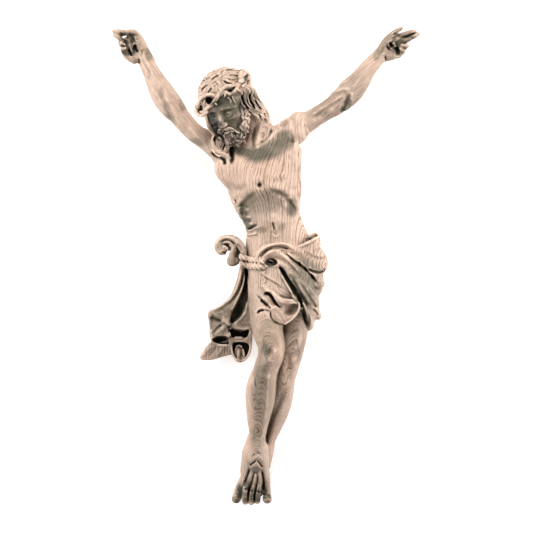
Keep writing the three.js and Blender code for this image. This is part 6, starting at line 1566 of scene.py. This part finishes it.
def ash():
    """Bare sanded ash: growth rings that run up the figure, pores along them, and painted highlights on its
    ridges and painted shade in its hollows.
    """
    wood, tree, shader = material("ash")
    n = Nodes(tree)
    grain = n.add("ShaderNodeAttribute", attribute_name="grain", out=1)
    near, wide, shade_patch, shadow_spot = (
        n.add("ShaderNodeAttribute", attribute_name=label, out=2) for label in SHADES)

    # slow bends of the trunk, so that the rings waver
    bend = n.vector("SUBTRACT", n.noise(grain, (0.022, 0.007, 0.022), 2, 0.5, out=1), (0.5, 0.5, 0.5))
    bent = n.vector("ADD", grain, n.vector("MULTIPLY", bend, (16, 0, 16)))
    wobble = n.noise(grain, (0.25, 0.03, 0.25), 2, 0.6)

    # distance from the heart of the trunk, which lies behind and to the side
    away = n.vector("MULTIPLY", n.vector("ADD", bent, HEART), (1, 0, 1))
    radius = n.math("ADD", n.vector("LENGTH", away, out=1), n.math("MULTIPLY", wobble, 1.5))
    uneven = n.add("ShaderNodeTexNoise", W=radius, noise_dimensions="1D", Scale=0.3, Detail=1)
    turns = n.math("DIVIDE", n.math("ADD", radius, n.math("MULTIPLY", uneven, 2.2)), RING)
    place = n.math("FRACT", turns)
    line = n.math("MULTIPLY", n.eased(place, 0.10, 0.42), n.math("SUBTRACT", 1, n.eased(place, 0.88, 1)))
    gap = n.math("SUBTRACT", 1, line)
    tone = n.add("ShaderNodeTexWhiteNoise", W=n.math("FLOOR", turns), noise_dimensions="1D")

    # pores: short dark dashes along the grain, thick in the early wood
    pores = n.eased(n.noise(grain, (2.2, 0.16, 2.2), 3, 0.65), 0.52, 0.66)
    specks = n.eased(n.noise(grain, (0.85, 0.11, 0.85), 3, 0.7), 0.50, 0.68)
    fibres = n.noise(grain, (1.1, 0.035, 1.1), 4, 0.6)

    # colour of the wood
    faint = n.noise(grain, 0.12, 2, 0.6)
    shown = n.math("SUBTRACT", 1, n.math("MULTIPLY", gap, n.remap(faint, 0.36, 0.60, 0.4, 1)))
    colour = n.blend(shown, EARLY, LATE)
    colour = n.blend(n.remap(tone, 0, 1, 0, 0.35), colour, DEEP, "MULTIPLY")
    colour = n.blend(n.remap(fibres, 0.35, 0.7, 0, 0.45), colour, DEEP, "MULTIPLY")
    colour = n.blend(n.math("MULTIPLY", pores, n.remap(line, 0, 0.7, 0.75, 0.2)), colour, PORE)
    colour = n.blend(n.math("MULTIPLY", specks, 0.34), colour, PORE)
    # broad patches, a little pinker, and painted shade in given places, made uneven by the same patches
    patch = n.noise(grain, 0.018, 3, 0.6)
    colour = n.blend(n.remap(patch, 0.35, 0.65, 0, 0.5), colour, PINK, "MULTIPLY")
    cloudy = n.math("MULTIPLY", shade_patch, n.remap(patch, 0.3, 0.7, 0.8, 1.15))
    colour = n.blend(cloudy, colour, SHADED, "MULTIPLY")
    # painted highlight on ridges, painted shade in broad folds, and painted shade and shadow in the hollows
    colour = n.blend(n.math("MULTIPLY", n.eased(near, 0.34, 0.18), 0.6), colour, RIDGE_HIGHLIGHT)
    colour = n.blend(n.math("MULTIPLY", n.eased(wide, 0.18, 0.42), 0.6), colour, FOLD_SHADE)
    hollow_shade = n.math("ADD", n.eased(near, 0.40, 0.60), n.eased(wide, 0.38, 0.70))
    # painted shadow in the given spots, kept to the hollows
    shadow_spot = n.math("MULTIPLY", shadow_spot, n.eased(near, 0.17, 0.30))
    painted_dark = n.math("MINIMUM", n.math("ADD", shadow_spot, n.math("MULTIPLY", hollow_shade, 0.8)), 0.97)
    n.plug(shader.inputs["Base Color"], n.blend(painted_dark, colour, SHADOW_DARK))

    n.plug(shader.inputs["Roughness"], n.remap(line, 0, 1, 0.74, 0.6))
    shader.inputs["Specular IOR Level"].default_value = 0.35
    # open pores and raised late wood
    height = n.math("SUBTRACT", n.math("MULTIPLY", line, 0.35), n.math("MULTIPLY", pores, 0.8))
    height = n.math("ADD", height, n.math("MULTIPLY", fibres, 0.5))
    bump = n.add("ShaderNodeBump", Strength=0.35, Distance=0.0004, Height=height)
    n.plug(shader.inputs["Normal"], bump)
    return wood


def floor():
    """A plain pale floor under the figure, lit a little from within, as paper on a light table is."""
    paper, _, shader = material("paper")
    for key, value in (
        ("Base Color", (0.93, 0.93, 0.93, 1)),
        ("Roughness", 0.9),
        ("Specular IOR Level", 0.1),
        ("Emission Color", (1, 1, 1, 1)),
        ("Emission Strength", 0.25),
    ):
        shader.inputs[key].default_value = value
    mesh = bpy.data.meshes.new("floor")
    corners = [(x * FLOOR_REACH, y * FLOOR_REACH, FLOOR) for x, y in ((-1, -1), (1, -1), (1, 1), (-1, 1))]
    mesh.from_pydata(corners, [], [(0, 1, 2, 3)])
    mesh.materials.append(paper)
    thing = linked("floor", mesh)


def lamp(name, place, size, watts):
    """A rectangular lamp that faces the middle of the figure."""
    data = bpy.data.lights.new(name, "AREA")
    data.shape = "RECTANGLE"
    data.size, data.size_y = size
    data.energy = watts
    thing = linked(name, data)
    thing.location = place
    thing.rotation_euler = (Vector(LIT) - Vector(place)).to_track_quat("-Z", "Y").to_euler()


def studio():
    """A long soft lamp over the head, two at the sides for the rims, and a dim room."""
    lamp("top", (-0.2, 1.3, 1.1), (0.7, 0.5), 36)
    lamp("left", (-1.2, 0, 0.3), (0.5, 1.6), 24)
    lamp("right", (1.2, 0.1, 0.3), (0.5, 1.6), 31)
    world = bpy.data.worlds.new("room")
    world.use_nodes = True
    ground = world.node_tree.nodes["Background"]
    ground.inputs["Color"].default_value = (0.93, 0.97, 1, 1)
    ground.inputs["Strength"].default_value = 0.38
    bpy.context.scene.world = world
    bpy.context.scene.view_settings.view_transform = "Standard"


def camera():
    """A long lens that looks straight down, with the whole sheet in its frame."""
    data = bpy.data.cameras.new("camera")
    data.lens = LENS
    data.sensor_width = SENSOR
    data.clip_end = 50
    x, y, z = one(SHOT / 2, SHOT / 2, SHOT_HEIGHT + SHOT * LENS / SENSOR)
    thing = linked("camera", data)
    thing.location = (x * MM, y * MM, z * MM)
    bpy.context.scene.camera = thing


def carved(b, *shapes):
    """Adds shapes to a block one after the other."""
    for shape in shapes:
        shape(b)
    return b


def finished(b):
    """Sands the wood and planes it off at the plane of the cross."""
    worn(b)
    b.field = np.maximum(b.field, -b.axis[2])
    return b


def body_block(step):
    b = Block(*BODY_ROOM, step)
    carved(b, torso, neck, legs, arms, fine_torso, fine_arms, fine_hands, fine_feet, fine_legs)
    # hollow where the loincloth fills it
    inner = carved(Block(*BODY_ROOM, step), fine_cloth, fine_swag)
    b.field = np.maximum(b.field, -OVERLAP - inner.field)
    return finished(carved(b, fine_creases))


def head_block(step):
    return finished(carved(Block(*HEAD_ROOM, step), fine_head, fine_face, beard, fine_hair, fine_crown))


def cloth_block(step):
    b = carved(Block(*CLOTH_ROOM, step), torso, legs, fine_legs)
    b.field += OVERLAP
    carved(b, fine_cloth, fine_swag, fine_train, fine_knot, fine_carving, fine_rope)
    return finished(b)


camera()
studio()
floor()
wood = ash()
makers = (("body", body_block, 0.6), ("head", head_block, 0.4), ("loincloth", cloth_block, 0.5))
for name, shaped, step in makers:
    block = shaped(step)
    piece(name, block, 2 * step).data.materials.append(wood)
